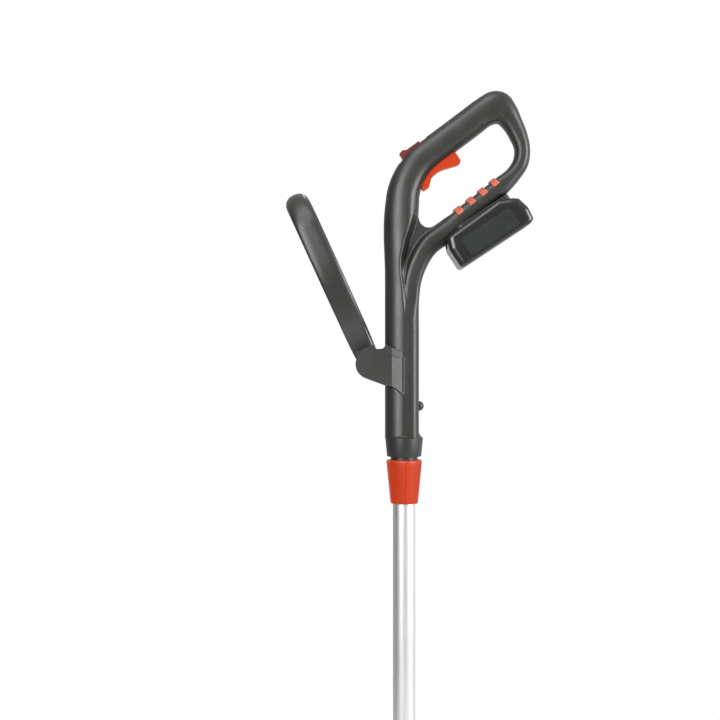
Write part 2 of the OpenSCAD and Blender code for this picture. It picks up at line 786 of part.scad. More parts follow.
module pack_form() {
    intersection() {
        side_slab(pack_side(), 2 * pack_w);
        translate([0, 0, -2 * pack_h]) linear_extrude(4 * pack_h) polygon(pack_plan());
        rotate([90, 0, 90]) linear_extrude(2 * pack_len, center = true) polygon(pack_end());
    }
}

cell_pitch = cell_d + 2 * run_gap;
cell_z = pack_wall + run_gap + cell_d / 2 - pack_h;
pack_end_room = 10;
row_count = min(cell_count, floor((pack_len - 2 * pack_end_room) / cell_pitch));
row_len = row_count * cell_pitch;
case_screw_r = 1.5;
case_screw_head_r = 2.8;
case_screw_l = 22;
case_screw_seat = 8;
case_screw_at = [0.445 * pack_len, 0.3 * pack_w];
panel_size = [0.62 * pack_len, 0.9, 0.36 * pack_h];
panel_sink = 0.6;
panel_z = -0.62 * pack_h;

module at_case_screws() {
    for (x = [-1, 1], y = [-1, 1]) translate([x * case_screw_at.x, y * case_screw_at.y,
        case_screw_seat - pack_h])
        children();
}

module pack_tray() {
    color(black) pack_frame() difference() {
        intersection() {
            pack_form();
            translate([0, 0, -split_drop - pack_h / 2]) box([2 * pack_len, 2 * pack_w, pack_h]);
        }
        translate([-row_len / 2 - run_gap, -cell_len / 2, pack_wall - pack_h])
            cube([row_len + 2 * run_gap, cell_len, pack_h]);
        at_case_screws() {
            cylinder(r = case_screw_r + pin_gap, h = pack_h);
            translate([0, 0, -pack_h]) cylinder(r = case_screw_head_r + slack, h = pack_h);
        }
        for (y = [-1, 1]) translate([0, y * pack_w / 2, panel_z])
            box([panel_size.x + 2 * slack, 2 * panel_sink, panel_size.z + 2 * slack]);
    }
}

latch_size = [11, 28, 6.5];
latch_sink = 1.5;
latch_travel = 3;
latch_x = pack_len / 2 - latch_size.x - latch_sink;
latch_z = -0.13 * pack_h;
module pack_cover() {
    color(black) pack_frame() difference() {
        union() {
            intersection() {
                pack_form();
                translate([0, 0, -split_drop / 2]) box([2 * pack_len, 2 * pack_w, split_drop]);
            }
            translate([-rail_from, -rail_neck_w / 2, -overrun])
                cube([rail_from + rail_to, rail_neck_w, overrun + rail_h]);
            translate([-rail_from, -rail_w / 2, rail_neck_h])
                cube([rail_from + rail_to, rail_w, rail_h - rail_neck_h]);
        }
        for (y = [-blade_pitch, 0, blade_pitch])
            translate([-pack_len / 2 - overrun, y - blade_size.y, blade_z - blade_size.z / 2 - run_gap])
                cube([overrun + pack_len / 2 + blade_x + blade_size.x / 2 + run_gap, 2 * blade_size.y,
                    whole]);
        translate([latch_x - run_gap, -latch_size.y / 2 - run_gap,
            latch_z - latch_size.z - latch_travel - run_gap])
            cube([pack_len, latch_size.y + 2 * run_gap, latch_size.z + latch_travel + 2 * run_gap]);
        at_case_screws() cylinder(r = case_screw_r + pin_gap, h = case_screw_l + run_gap);
    }
}

module pack_cells() {
    color(copper) pack_frame() for (i = [0 : row_count - 1])
        translate([(i - (row_count - 1) / 2) * cell_pitch, 0, cell_z])
            y_rod(cell_d / 2, cell_len - 2 * run_gap);
}

pack_board_size = [0.88 * row_len, 0.7 * cell_len, 1.2];
module pack_board() {
    color(green) pack_frame() translate([0, 0, cell_z + cell_d / 2 + pin_gap + pack_board_size.z / 2])
        box(pack_board_size);
}

module pack_latch() {
    color(charcoal) pack_frame() difference() {
        translate([latch_x, -latch_size.y / 2, latch_z - latch_size.z]) cube(latch_size);
        for (z = [0.25, 0.5, 0.75]) translate([latch_x + latch_size.x, 0, latch_z - z * latch_size.z])
            rotate([0, 45, 0]) box([1.6 * run_gap, latch_size.y - 4 * run_gap, 1.6 * run_gap]);
    }
}

module latch_spring() {
    color(steel) pack_frame() translate([latch_x + latch_size.x / 2, 0,
        latch_z - latch_size.z - latch_travel])
        ring_of(spring_r, spring_r - spring_wire, latch_travel - pin_gap);
}

module pack_panels() {
    color(charcoal) pack_frame() for (y = [-1, 1])
        translate([0, y * (pack_w / 2 - panel_sink + panel_size.y / 2), panel_z]) box(panel_size);
}

module pack_screws() {
    color(steel) pack_frame() at_case_screws() rotate([180, 0, 0])
        screw(case_screw_r, case_screw_l, case_screw_head_r, screw_head_l);
}

// Second handle

// Its frame: origin on the pivot, Z along the handle and X towards the shaft
module second_frame() {
    pole_frame() translate([-pivot_reach, 0, pivot_h]) rotate([0, -second_tilt, 0]) children();
}

hub_r = 17;
hub_w = 39;
hub_rise = 22;
hub_block_t = 27;
washer_t = 1.2;
washer_r = 14;
ear_gap = hub_w / 2 + washer_t + 2 * run_gap;
ear_t = 5;
ear_y = ear_gap + ear_t;
bolt_r = 4;
bolt_blind = 2.5;
facet_x = -15.6;
facet_end_x = 0.4;
facet_end_y = 20.6;
bracket_low = 41;
bracket_top_x = -14;
bracket_sag = 29;

function bracket_plan() = let (f = -pivot_reach - ear_r) [
    [f, -ear_y], [facet_x, -ear_y], [facet_end_x, -facet_end_y], [facet_end_x, facet_end_y],
        [facet_x, ear_y], [f, ear_y]
];

// Lower edge of the ear, tangent to its round end
bracket_heel = 8.5;
bracket_foot = [bracket_sag - pivot_reach - bracket_heel, pivot_h - bracket_sag];
function ear_tangent() =
    let (
        d = [-pivot_reach, pivot_h] - bracket_foot,
        far = norm(d),
        a = atan2(d.y, d.x) + asin(ear_r / far)
    )
    bracket_foot + sqrt(far * far - ear_r * ear_r) * [cos(a), sin(a)];

module second_bracket() {
    color(charcoal) pole_frame() difference() {
        intersection() {
            translate([0, 0, pivot_h - whole / 2]) linear_extrude(whole) polygon(bracket_plan());
            union() {
                translate([-pivot_reach, 0, pivot_h]) y_rod(ear_r, whole);
                side_slab([
                    [-pivot_reach, pivot_h + ear_r], [bracket_top_x, pivot_h + ear_r],
                    [facet_end_x, pivot_h + 0.7 * ear_r], [facet_end_x, pivot_h - bracket_low],
                    [facet_x, pivot_h - bracket_sag], bracket_foot, ear_tangent(), [-pivot_reach, pivot_h]
                ], whole);
            }
        }
        translate([0, 0, -whole / 2]) linear_extrude(2 * whole) {
            polygon([for (p = rim([0, 0, 0, 1, ridge_t / 2, shaft_depth * 0.48], 2 * slack, shaft_e))
                [front_x - p.x, p.y]]);
            polygon([for (p = rim([0, 0, 0, 1, rear_ridge_t / 2, rear_ridge_w / 2], 2 * slack, shaft_e))
                [rear_x - p.x, p.y]]);
        }
        translate([-pivot_reach, 0, pivot_h]) {
            y_rod(hub_r + 2 * run_gap, 2 * ear_gap);
            translate([-2 * ear_r, -ear_gap, 0]) cube([2 * ear_r + hub_r / 2, 2 * ear_gap, whole]);
            translate([-2 * ear_r, -ear_gap, -whole])
                cube([2 * ear_r + second_w / 2 + run_gap, 2 * ear_gap, whole]);
            translate([0, (ear_y + overrun - ear_gap - bolt_blind) / 2, 0])
                y_rod(bolt_r + pin_gap, ear_y + overrun + ear_gap + bolt_blind);
        }
        for (z = bracket_screw_places) translate([bracket_screw_x, 0, z]) {
            translate([0, whole / 2, 0]) y_rod(screw_r + pin_gap, whole);
            translate([0, shaft_depth / 2 + bracket_screw_seat + whole / 2, 0])
                y_rod(screw_head_r + slack, whole);
        }
    }
}

module bracket_screws() {
    color(steel) pole_frame() for (z = bracket_screw_places)
        translate([bracket_screw_x, shaft_depth / 2 + bracket_screw_seat, z]) rotate([-90, 0, 0])
            screw(screw_r, bracket_screw_l, screw_head_r, screw_head_l);
}

module second_hub() {
    color(black) second_frame() difference() {
        union() {
            y_rod(hub_r, hub_w);
            translate([0, 0, hub_rise / 2]) box([hub_block_t, hub_w, hub_rise]);
        }
        y_rod(bolt_r + pin_gap, whole);
    }
}

// The loop in its own plane: places along one arm to the middle of the cross bar, then mirrored
arm_y = (second_span - arm_t) / 2;
root_y = 12;
root_t = 13;
corner_r = 0.78 * arm_y;
bar_z = second_len - second_w / 2;
loop_e = 2.3;
corner_shares = [0, 1 / 3, 2 / 3, 1];
half_loop = concat(
    [[root_y, hub_rise + slack, root_t / 2, 0.48 * second_w],
        [root_y, hub_rise + root_t, root_t / 2, 0.485 * second_w],
        [mix(root_y, arm_y, 0.55), 0.26 * second_len, arm_t / 2, 0.495 * second_w],
        [arm_y, 0.43 * second_len, arm_t / 2, second_w / 2]],
    [for (t = corner_shares) [arm_y - corner_r * (1 - cos(90 * t)), bar_z - corner_r * (1 - sin(90 * t)),
        mix(arm_t, second_w, t * t) / 2, second_w / 2]]);
loop_knots = knots_of(concat(half_loop, [[0, bar_z, second_w / 2, second_w / 2]],
    [for (p = backward(half_loop)) [-p[0], p[1], p[2], p[3]]]));
cover_steps = [3, 9];
inlay_steps = [9, 15];
inlay_t = 0.9;
inlay_from_share = 0.3;
inlay_to_share = 0.8;

module second_loop() {
    color(black) second_frame() rotate([0, 0, -90])
        stitched([for (k = loop_knots) arc_rim(k, 0, loop_e, cover_steps[1], cover_steps[0] + rim_steps)]);
}

module second_cover() {
    color(charcoal) second_frame() translate([slack, 0, 0]) rotate([0, 0, -90])
        stitched([for (k = loop_knots) arc_rim(k, 0, loop_e, cover_steps[0], cover_steps[1])]);
}

module second_inlays() {
    color(charcoal) second_frame() rotate([0, 0, -90]) for (side = [-1, 1])
        banded([for (k = loop_knots) if (side * k[0] > 0 && k[1] > inlay_from_share * second_len
            && k[1] < inlay_to_share * second_len)
            strip_rim(k, slack, inlay_t, loop_e, inlay_steps[0], inlay_steps[1])]);
}

knob_r = 18;
knob_h = 13;
knob_flutes = 10;
knob_reach = 9;
module pivot_bolt() {
    bolt_from = -ear_gap - bolt_blind + slack;
    bolt_to = ear_y + run_gap + knob_reach - slack;
    color(steel) pole_frame() translate([-pivot_reach, (bolt_from + bolt_to) / 2, pivot_h])
        y_rod(bolt_r, bolt_to - bolt_from);
}

module pivot_washers() {
    color(steel) pole_frame() for (y = [-1, 1])
        translate([-pivot_reach, y * (hub_w / 2 + run_gap) - (1 - y) / 2 * washer_t, pivot_h])
            rotate([-90, 0, 0])
            ring_of(washer_r, bolt_r + run_gap, washer_t);
}

module pivot_knob() {
    color(orange) pole_frame() translate([-pivot_reach, ear_y + run_gap, pivot_h]) rotate([-90, 0, 0])
        difference() {
        rotate_extrude() polygon(rounded([
            [0, 0, 0], [knob_r, 0, fine_r], [knob_r, knob_h, soft_r], [0, 0.86 * knob_h, 0]
        ]));
        translate([0, 0, -overrun]) cylinder(r = bolt_r + pin_gap, h = overrun + knob_reach);
        for (i = [0 : knob_flutes - 1]) rotate([0, 0, 360 * i / knob_flutes])
            translate([1.1 * knob_r, 0, -overrun]) cylinder(r = 0.18 * knob_r, h = knob_h + 2 * overrun);
    }
}

// Twist clamp and telescopic tube, in the pole's frame

tube_gap = 0.4;
thread_from = 29;
spigot_l = 20;
spigot_r = bore_r - slack;
collet_from = 6;
collet_slots = 6;
collet_slot_w = 1.6;
collet_t = [1.4, 2.6];
collet_r = [tube_r + collet_t[0], tube_r + collet_t[1]];
guide_l = 24;
socket_depth = 56;
tube_foot = -tube_shown - socket_depth;

module stop_stud() {
    color(black) pole_frame() translate([shaft_rear - stud_inset, 0, stop_h]) rotate([0, 90, 0]) {
        intersection() {
            translate([0, 0, stud_inset]) sphere(r = stud_r);
            cylinder(r = 2 * stud_r, h = 2 * stud_r);
        }
        cylinder(r = stud_r, h = stud_inset);
        translate([0, 0, tube_r + tube_gap - shaft_rear + stud_inset])
            cylinder(r = stud_shank_r, h = shaft_rear - stud_inset - tube_r);
    }
}

module ferrule() {
    bore = tube_r + tube_gap;
    color(charcoal) pole_frame() rotate_extrude() polygon(rounded([
        [bore, thread_from, 0], [nose_d / 2, thread_from, 0], [nose_d / 2, ferrule_z, 0],
        [0.78 * ferrule_d / 2, ferrule_z, edge_r], [0.95 * ferrule_d / 2, ferrule_z + ferrule_h / 2, wide_r],
        [ferrule_d / 2, foot_z - ferrule_h / 5, soft_r], [0.96 * ferrule_d / 2, foot_z, edge_r],
        [spigot_r, foot_z, 0], [spigot_r, foot_z + spigot_l, 0], [bore, foot_z + spigot_l, 0]
    ]));
}

module collet() {
    color(black) pole_frame() difference() {
        rotate_extrude() polygon([
            [tube_r + run_gap, collet_from + run_gap], [collet_r[0], collet_from + run_gap],
            [collet_r[1], thread_from - run_gap], [tube_r + run_gap, thread_from - run_gap]
        ]);
        for (i = [0 : collet_slots - 1]) rotate([0, 0, 360 * i / collet_slots])
            translate([0, -collet_slot_w / 2, thread_from / 3]) cube([tube_d, collet_slot_w, thread_from]);
    }
}

flute_r = 30;
flute_cut = 0.9;
module twist_collar() {
    lean = atan2((collar_top_d - collar_foot_d) / 2, collar_h);
    color(orange) pole_frame() difference() {
        rotate_extrude() polygon(rounded([
            [tube_r + tube_gap, 0, 0], [collar_foot_d / 2, 0, edge_r], [collar_top_d / 2, collar_h, soft_r],
            [nose_d / 2 + tube_gap, collar_h, 0], [nose_d / 2 + tube_gap, thread_from - run_gap, 0],
            [collet_r[1] + run_gap, thread_from - run_gap, 0], [collet_r[0] + run_gap, collet_from, 0],
            [tube_r + tube_gap, collet_from, 0]
        ]));
        for (i = [0 : flute_count - 1]) rotate([0, 0, 360 * (i + 1 / 2) / flute_count])
            translate([collar_foot_d / 2 - flute_cut, 0, 0]) rotate([0, lean, 0])
                translate([flute_r, 0, -overrun]) cylinder(r = flute_r, h = collar_h + 2 * overrun);
    }
}

cross_screw_r = 2;
cross_screw_drop = 16;
module pole_tube() {
    color(silver) pole_frame() difference() {
        translate([0, 0, tube_foot]) ring_of(tube_r, tube_r - tube_wall, tube_inside - tube_foot);
        translate([0, 0, -tube_shown - cross_screw_drop]) y_rod(cross_screw_r + pin_gap, whole);
    }
}

module tube_guide() {
    color(black) pole_frame() translate([0, 0, tube_inside - guide_l])
        ring_of(bore_r - tube_gap, tube_r + pin_gap, guide_l);
}

coil_r = 8;
coil_bore = 4;
module coiled_lead() {
    coil_foot = -tube_shown - cross_screw_drop / 2;
    color(black) pole_frame() translate([0, 0, coil_foot])
        ring_of(coil_r, coil_bore, bore_top - coil_foot - run_gap);
}

// Tilting socket at the foot of the tube; its frame is on the tilt pin

tongue_w = 18;
tongue_r = 15;
ear_side_t = 8;
fork_r = 17;
fork_rise = 26;
module pin_frame() {
    pole_frame() translate([0, 0, -tube_shown - socket_h]) children();
}

pedal_plate = [2.6, 16, 26];
pedal_drop = 34;
pedal_z = socket_h - pedal_drop;
pedal_travel = 5;
pedal_tread = [30, 30, 5];
pedal_neck_w = 11;
rail_lip = 2;
rail_t = 3;
pedal_x = socket_d / 2 + run_gap;
pedal_floor = 3;
socket_screw_sink = 1;
socket_head_r = 3.6;
tilt_pin_spare = 2;
module head_socket() {
    guide_low = pedal_z - pedal_plate.z / 2 - pedal_travel - pedal_floor;
    guide_h = pedal_plate.z + pedal_travel + pedal_floor;
    guide_w = pedal_plate.y + 2 * run_gap + 2 * rail_t;
    guide_d = pedal_plate.x + 2 * run_gap + rail_lip;
    color(charcoal) pin_frame() difference() {
        union() {
            translate([0, 0, fork_rise]) cylinder(r = socket_d / 2, h = socket_h - fork_rise);
            difference() {
                union() {
                    y_rod(fork_r, tongue_w + 2 * run_gap + 2 * ear_side_t);
                    translate([-fork_r, -tongue_w / 2 - run_gap - ear_side_t, 0])
                        cube([2 * fork_r, tongue_w + 2 * run_gap + 2 * ear_side_t, fork_rise + overrun]);
                }
                translate([0, 0, -whole / 2 + fork_rise]) box([whole, tongue_w + 2 * run_gap, whole]);
            }
            translate([0, -guide_w / 2, guide_low]) cube([socket_d / 2 + guide_d, guide_w, guide_h]);
        }
        translate([0, 0, socket_h - socket_depth]) cylinder(r = tube_r + pin_gap, h = socket_depth + overrun);
        y_rod(tilt_pin_d / 2 + pin_gap, whole);
        translate([0, 0, socket_h - cross_screw_drop]) y_rod(cross_screw_r + pin_gap, whole);
        translate([socket_d / 2, -pedal_plate.y / 2 - run_gap, guide_low + pedal_floor])
            cube([pedal_plate.x + 2 * run_gap, pedal_plate.y + 2 * run_gap, whole]);
        translate([socket_d / 2, -pedal_neck_w / 2 - run_gap, guide_low + pedal_floor])
            cube([whole, pedal_neck_w + 2 * run_gap, whole]);
        for (y = [-1, 1]) translate([0, y * (socket_d / 2 - socket_screw_sink + whole / 2),
            socket_h - cross_screw_drop])
            y_rod(socket_head_r + run_gap, whole);
    }
}

module socket_screw() {
    color(steel) pin_frame() translate([0, socket_d / 2 - socket_screw_sink, socket_h - cross_screw_drop])
        rotate([-90, 0, 0])
        screw(cross_screw_r, socket_d - 2 * socket_screw_sink, socket_head_r, screw_head_l);
}

module tilt_pin() {
    color(steel) pin_frame() y_rod(tilt_pin_d / 2, tongue_w + 2 * run_gap + 2 * ear_side_t + tilt_pin_spare);
}

module tilt_pedal() {
    color(orange) pin_frame() translate([pedal_x, 0, pedal_z]) {
        translate([pedal_plate.x / 2, 0, 0]) box(pedal_plate);
        translate([0, -pedal_neck_w / 2, -pedal_tread.z / 2])
            cube([pedal_plate.x + rail_lip + 3 * run_gap, pedal_neck_w, pedal_tread.z]);
        translate([pedal_plate.x + rail_lip + 2 * run_gap, 0, -pedal_tread.z / 2])
            linear_extrude(pedal_tread.z) polygon(rounded([
            [0, -pedal_tread.y / 2, edge_r], [pedal_tread.x, -0.36 * pedal_tread.y, round_r],
            [pedal_tread.x, 0.36 * pedal_tread.y, round_r], [0, pedal_tread.y / 2, edge_r]
        ]));
    }
}

module pedal_spring() {
    color(steel) pin_frame() translate([pedal_x + pedal_plate.x / 2, 0,
        pedal_z - pedal_plate.z / 2 - pedal_travel])
        ring_of(pedal_plate.x / 2, pedal_plate.x / 4, pedal_travel - pin_gap);
}

// Cutter head, in the head's frame: Z runs up along the spindle

glide_h = 9;
disc_z = glide_h;
disc_t = 5;
disc_hub_r = 13;
disc_hub_h = 10.5;
spindle_r = spindle_d / 2;
housing_z = 20;
housing_h = 80;
floor_t = 4;
bearing_r = 11;
bearing_h = 7;
motor_gap = 2;
motor_z = housing_z + floor_t + bearing_h + motor_gap;
cover_z = housing_z + housing_h;
cover_h = 26;
cover_top_r = 18;
spigot_h = 12;
spigot_t = 3;
hoop_h = 45;
hoop_boss_r = 7;
hoop_boss_l = 4;
hoop_depth = 5;
housing_screw_count = 3;
function housing_r(z) = mix(housing_d, housing_top_d, (z - housing_z) / housing_h) / 2;

module head_spin(points) {
    rotate_extrude() polygon(points);
}

flange_z = 27.4;
flange_t = 4;
flange_w = 9;
guard_t = 3;
guard_gap = 0.6;
guard_margin = 7;
guard_r = cut_d / 2 + guard_margin;
guard_z = flange_z - guard_t - 2 * pin_gap;
guard_screw_r = 2;
guard_screw_angles = [-50, 0, 50];
guard_screw_at = housing_r(flange_z) + 0.55 * flange_w;
guard_drop = 4;

module motor_housing() {
    low = housing_d / 2;
    high = housing_top_d / 2;
    w = housing_wall;
    color(charcoal) head_frame() difference() {
        union() {
            head_spin([
                [spindle_r + 2 * run_gap, housing_z], [low, housing_z], [high, cover_z], [high - w, cover_z],
                [low - w, housing_z + floor_t], [bearing_r + w, housing_z + floor_t],
                [bearing_r + w, motor_z - run_gap], [bearing_r + pin_gap, motor_z - run_gap],
                [bearing_r + pin_gap, housing_z + floor_t], [spindle_r + 2 * run_gap, housing_z + floor_t]
            ]);
            translate([0, 0, flange_z]) ring_of(housing_r(flange_z) + flange_w,
                housing_r(flange_z) - w / 2, flange_t);
            for (y = [-1, 1]) translate([0, y * (housing_r(hoop_h) + hoop_boss_l / 2), hoop_h])
                y_rod(hoop_boss_r, hoop_boss_l + 2 * w);
        }
        for (y = [-1, 1]) translate([0, y * (housing_r(hoop_h) + hoop_boss_l + overrun), hoop_h])
            y_rod(hoop_wire_d / 2 + pin_gap, 2 * overrun + 2 * hoop_depth);
        for (i = [0 : housing_screw_count - 1]) rotate([0, 0, 360 * i / housing_screw_count])
            translate([0, 0, cover_z - spigot_h / 2]) {
                x_rod(case_screw_r + pin_gap, housing_d);
                translate([high - w / 3, 0, 0]) x_rod(case_screw_head_r + slack, housing_d);
            }
        for (a = guard_screw_angles) rotate([0, 0, a]) translate([guard_screw_at, 0, flange_z - overrun])
            cylinder(r = guard_screw_r + pin_gap, h = flange_t + 2 * overrun);
    }
}

module motor_cover() {
    high = housing_top_d / 2;
    w = housing_wall;
    inner = housing_r(cover_z - spigot_h) - w - 2 * slack - (housing_r(cover_z - spigot_h) - high);
    pin_z = tilt_pin_h;
    color(charcoal) head_frame() difference() {
        union() {
            head_spin([
                [inner - spigot_t, cover_z - spigot_h], [inner, cover_z - spigot_h], [inner, cover_z],
                    [high, cover_z],
                [0.93 * high, cover_z + 0.5 * cover_h], [cover_top_r, cover_z + cover_h],
                    [0, cover_z + cover_h],
                [0, cover_z + cover_h - w], [cover_top_r - w, cover_z + cover_h - w],
                [0.93 * high - w, cover_z + 0.5 * cover_h - w / 2], [inner - spigot_t, cover_z]
            ]);
            translate([0, 0, pin_z]) y_rod(tongue_r, tongue_w);
            translate([-tongue_r, -tongue_w / 2, cover_z + cover_h - w / 2])
                cube([2 * tongue_r, tongue_w, pin_z - cover_z - cover_h + w / 2]);
        }
        translate([0, 0, pin_z]) y_rod(tilt_pin_d / 2 + pin_gap, whole);
        for (i = [0 : housing_screw_count - 1]) rotate([0, 0, 360 * i / housing_screw_count])
            translate([0, 0, cover_z - spigot_h / 2]) x_rod(case_screw_r + pin_gap, housing_d);
    }
}

module housing_screws() {
    color(steel) head_frame() for (i = [0 : housing_screw_count - 1])
        rotate([0, 0, 360 * i / housing_screw_count])
        translate([housing_top_d / 2 - housing_wall / 3, 0, cover_z - spigot_h / 2]) rotate([0, 90, 0])
            screw(case_screw_r, housing_wall + spigot_t, case_screw_head_r, screw_head_l);
}

module motor() {
    color(steel) head_frame() translate([0, 0, motor_z]) ring_of(motor_d / 2, spindle_r + run_gap, motor_len);
}

module spindle() {
    color(steel) head_frame() difference() {
        translate([0, 0, disc_z]) cylinder(r = spindle_r, h = motor_z + motor_len / 2 - disc_z);
        translate([0, 0, disc_z - overrun]) cylinder(r = glide_screw_r + pin_gap,
            h = overrun + 2 * disc_t + pin_gap);
    }
}

module spindle_bearing() {
    color(steel) head_frame() translate([0, 0, housing_z + floor_t + pin_gap])
        ring_of(bearing_r, spindle_r + pin_gap, bearing_h);
}

stud_at = 0.4 * disc_d;
blade_stud_r = 3.2;
blade_stud_l = 6.2;
blade_head_r = 6;
blade_head_t = 1.8;
blade_t = 2.4;
blade_w = 18;
blade_gap = 0.8;
module cutter_disc() {
    color(charcoal) head_frame() difference() {
        union() {
            head_spin(rounded([
                [0, disc_z, 0], [disc_d / 2, disc_z, fine_r], [disc_d / 2, disc_z + disc_t / 2, fine_r],
                [disc_hub_r + disc_t, disc_z + disc_t, edge_r], [disc_hub_r, disc_z + disc_hub_h, fine_r],
                [0, disc_z + disc_hub_h, 0]
            ]));
            translate([-stud_at, 0, disc_z - blade_stud_l]) cylinder(r = blade_stud_r,
                h = blade_stud_l + disc_t / 4);
            translate([-stud_at, 0, disc_z - blade_stud_l]) cylinder(r = blade_head_r, h = blade_head_t);
        }
        translate([0, 0, disc_z - overrun]) cylinder(r = spindle_r + pin_gap, h = whole);
    }
}

module cutter_blade() {
    reach = cut_d / 2 - stud_at;
    color(orange) head_frame() translate([-stud_at, 0, disc_z - blade_stud_l + blade_head_t + blade_gap])
        difference() {
        linear_extrude(blade_t) polygon(rounded([
            [blade_w / 2, -blade_w / 2, 0.44 * blade_w], [blade_w / 2, blade_w / 2, 0.44 * blade_w],
            [-0.3 * reach, blade_w / 2, round_r], [-reach, 0.3 * blade_w, edge_r],
            [-reach, -0.3 * blade_w, edge_r], [-0.3 * reach, -blade_w / 2, round_r]
        ]));
        translate([0, 0, -overrun]) cylinder(r = blade_stud_r + run_gap, h = blade_t + 2 * overrun);
    }
}

glide_flat_r = 0.34 * glide_d;
glide_screw_r = 2;
glide_head_r = 6;
glide_floor = 3;
// The glide is a cap with a closed underside over the screw's head
module ground_glide() {
    color(black) head_frame() head_spin(rounded([
        [0, 0, 0], [glide_flat_r, 0, soft_r], [glide_d / 2, 0.62 * glide_h, soft_r],
        [glide_d / 2, glide_h - slack, fine_r], [glide_head_r + run_gap, glide_h - slack, 0],
        [glide_head_r + run_gap, glide_floor, 0], [0, glide_floor, 0]
    ]));
}

module glide_screw() {
    color(steel) head_frame() translate([0, 0, disc_z - pin_gap]) rotate([180, 0, 0])
        screw(glide_screw_r, 2 * disc_t, glide_head_r, screw_head_l);
}

module guard() {
    inner = housing_r(guard_z) + guard_gap;
    color(charcoal) head_frame() difference() {
        rotate([0, 0, -guard_arc / 2]) rotate_extrude(angle = guard_arc) polygon(rounded([
            [inner, guard_z, 0], [guard_r - 2 * guard_t, guard_z, edge_r],
            [guard_r - guard_t, guard_z - 2 * guard_t, edge_r], [guard_r - guard_t, guard_drop, 0],
            [guard_r, guard_drop, 0], [guard_r, guard_z - guard_t, soft_r],
            [guard_r - 2 * guard_t, guard_z + guard_t, soft_r], [inner, guard_z + guard_t, 0]
        ]));
        for (a = guard_screw_angles) rotate([0, 0, a]) translate([guard_screw_at, 0, 0])
            cylinder(r = guard_screw_r + pin_gap, h = whole);
    }
}

module guard_screws() {
    color(steel) head_frame() for (a = guard_screw_angles) rotate([0, 0, a])
        translate([guard_screw_at, 0, guard_z])
        rotate([180, 0, 0]) screw(guard_screw_r, guard_t + flange_t, screw_head_r, screw_head_l);
}

hoop_margin = 14;
hoop_r = cut_d / 2 + hoop_margin;
hoop_tip = 13.5;
module plant_guard() {
    wire = hoop_wire_d / 2;
    inner = housing_r(hoop_h) + hoop_boss_l - hoop_depth + run_gap;
    color(steel) head_frame() translate([0, 0, hoop_h]) rotate([0, -hoop_tip, 0]) {
        rotate([0, 0, 90]) rotate_extrude(angle = 180) translate([hoop_r, 0]) circle(r = wire);
        for (y = [-1, 1]) translate([0, y * (inner + hoop_r + wire) / 2, 0])
            y_rod(wire, hoop_r + wire - inner);
    }
}

left_shell();
right_shell();
shell_screws();
grip_pad();
grip_ribs();
trigger();
trigger_pin();
trigger_spring();
lock_button();
lock_spring();
switch_block();
battery_dock();
dock_blades();
control_board();
switch_lead();
motor_lead();
pack_tray();
pack_cover();
pack_cells();
pack_board();
pack_latch();
latch_spring();
pack_panels();
pack_screws();
second_bracket();
bracket_screws();
second_hub();
second_loop();
second_cover();
second_inlays();
pivot_bolt();
pivot_washers();
pivot_knob();
stop_stud();
ferrule();
collet();
twist_collar();
pole_tube();
tube_guide();
coiled_lead();
head_socket();
socket_screw();
tilt_pin();
tilt_pedal();
pedal_spring();
motor_cover();
motor_housing();
housing_screws();
motor();
spindle();
spindle_bearing();
cutter_disc();
cutter_blade();
ground_glide();
glide_screw();
guard();
guard_screws();
plant_guard();
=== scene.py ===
"""Dressed model of a cordless grass trimmer on a telescopic pole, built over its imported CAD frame."""

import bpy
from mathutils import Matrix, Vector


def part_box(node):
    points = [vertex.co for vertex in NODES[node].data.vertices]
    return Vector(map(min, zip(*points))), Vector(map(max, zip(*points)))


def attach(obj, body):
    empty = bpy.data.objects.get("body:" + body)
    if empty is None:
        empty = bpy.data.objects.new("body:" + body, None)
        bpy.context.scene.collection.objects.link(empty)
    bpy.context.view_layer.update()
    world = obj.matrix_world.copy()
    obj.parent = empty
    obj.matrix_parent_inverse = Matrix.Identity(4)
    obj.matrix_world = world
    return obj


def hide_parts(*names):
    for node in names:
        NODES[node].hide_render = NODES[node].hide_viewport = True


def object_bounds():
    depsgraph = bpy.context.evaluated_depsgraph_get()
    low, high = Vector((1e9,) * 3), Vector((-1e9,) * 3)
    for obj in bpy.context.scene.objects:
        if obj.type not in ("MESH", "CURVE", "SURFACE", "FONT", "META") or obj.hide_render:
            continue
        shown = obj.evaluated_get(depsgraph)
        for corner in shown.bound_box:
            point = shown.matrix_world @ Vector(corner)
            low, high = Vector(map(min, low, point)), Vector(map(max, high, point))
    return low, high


bl_info = {
    "name": "Pole Trimmer Dressing",
    "version": (1, 0, 0),
    "blender": (4, 5, 0),
    "location": "View3D > Sidebar > Trimmer",
    "description": "Builds the shells, handles, clamp, battery and finishes of a pole trimmer "
                   "over its CAD frame",
    "category": "Add Mesh",
}

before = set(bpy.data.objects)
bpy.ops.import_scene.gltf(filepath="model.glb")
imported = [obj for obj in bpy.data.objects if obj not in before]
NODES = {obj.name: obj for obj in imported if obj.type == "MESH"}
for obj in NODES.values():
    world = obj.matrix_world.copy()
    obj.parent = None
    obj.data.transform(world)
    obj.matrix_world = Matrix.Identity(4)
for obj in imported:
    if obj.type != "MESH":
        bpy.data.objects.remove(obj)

import math

import bmesh
import bpy
from bpy.props import FloatProperty, FloatVectorProperty, IntProperty, PointerProperty
from bpy.types import Operator, Panel, PropertyGroup
from mathutils import Matrix, Vector

CAD_BOX = [list(corner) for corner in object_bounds()]
TUBE_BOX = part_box("pole_tube")
POLE = Vector(((TUBE_BOX[0].x + TUBE_BOX[1].x) / 2, 0.0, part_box("twist_collar")[0].z))
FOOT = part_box("left_shell")[0].z - POLE.z


# Properties


def length(name, description, default):
    return FloatProperty(name=name, description=description, default=default, unit="LENGTH", precision=4)


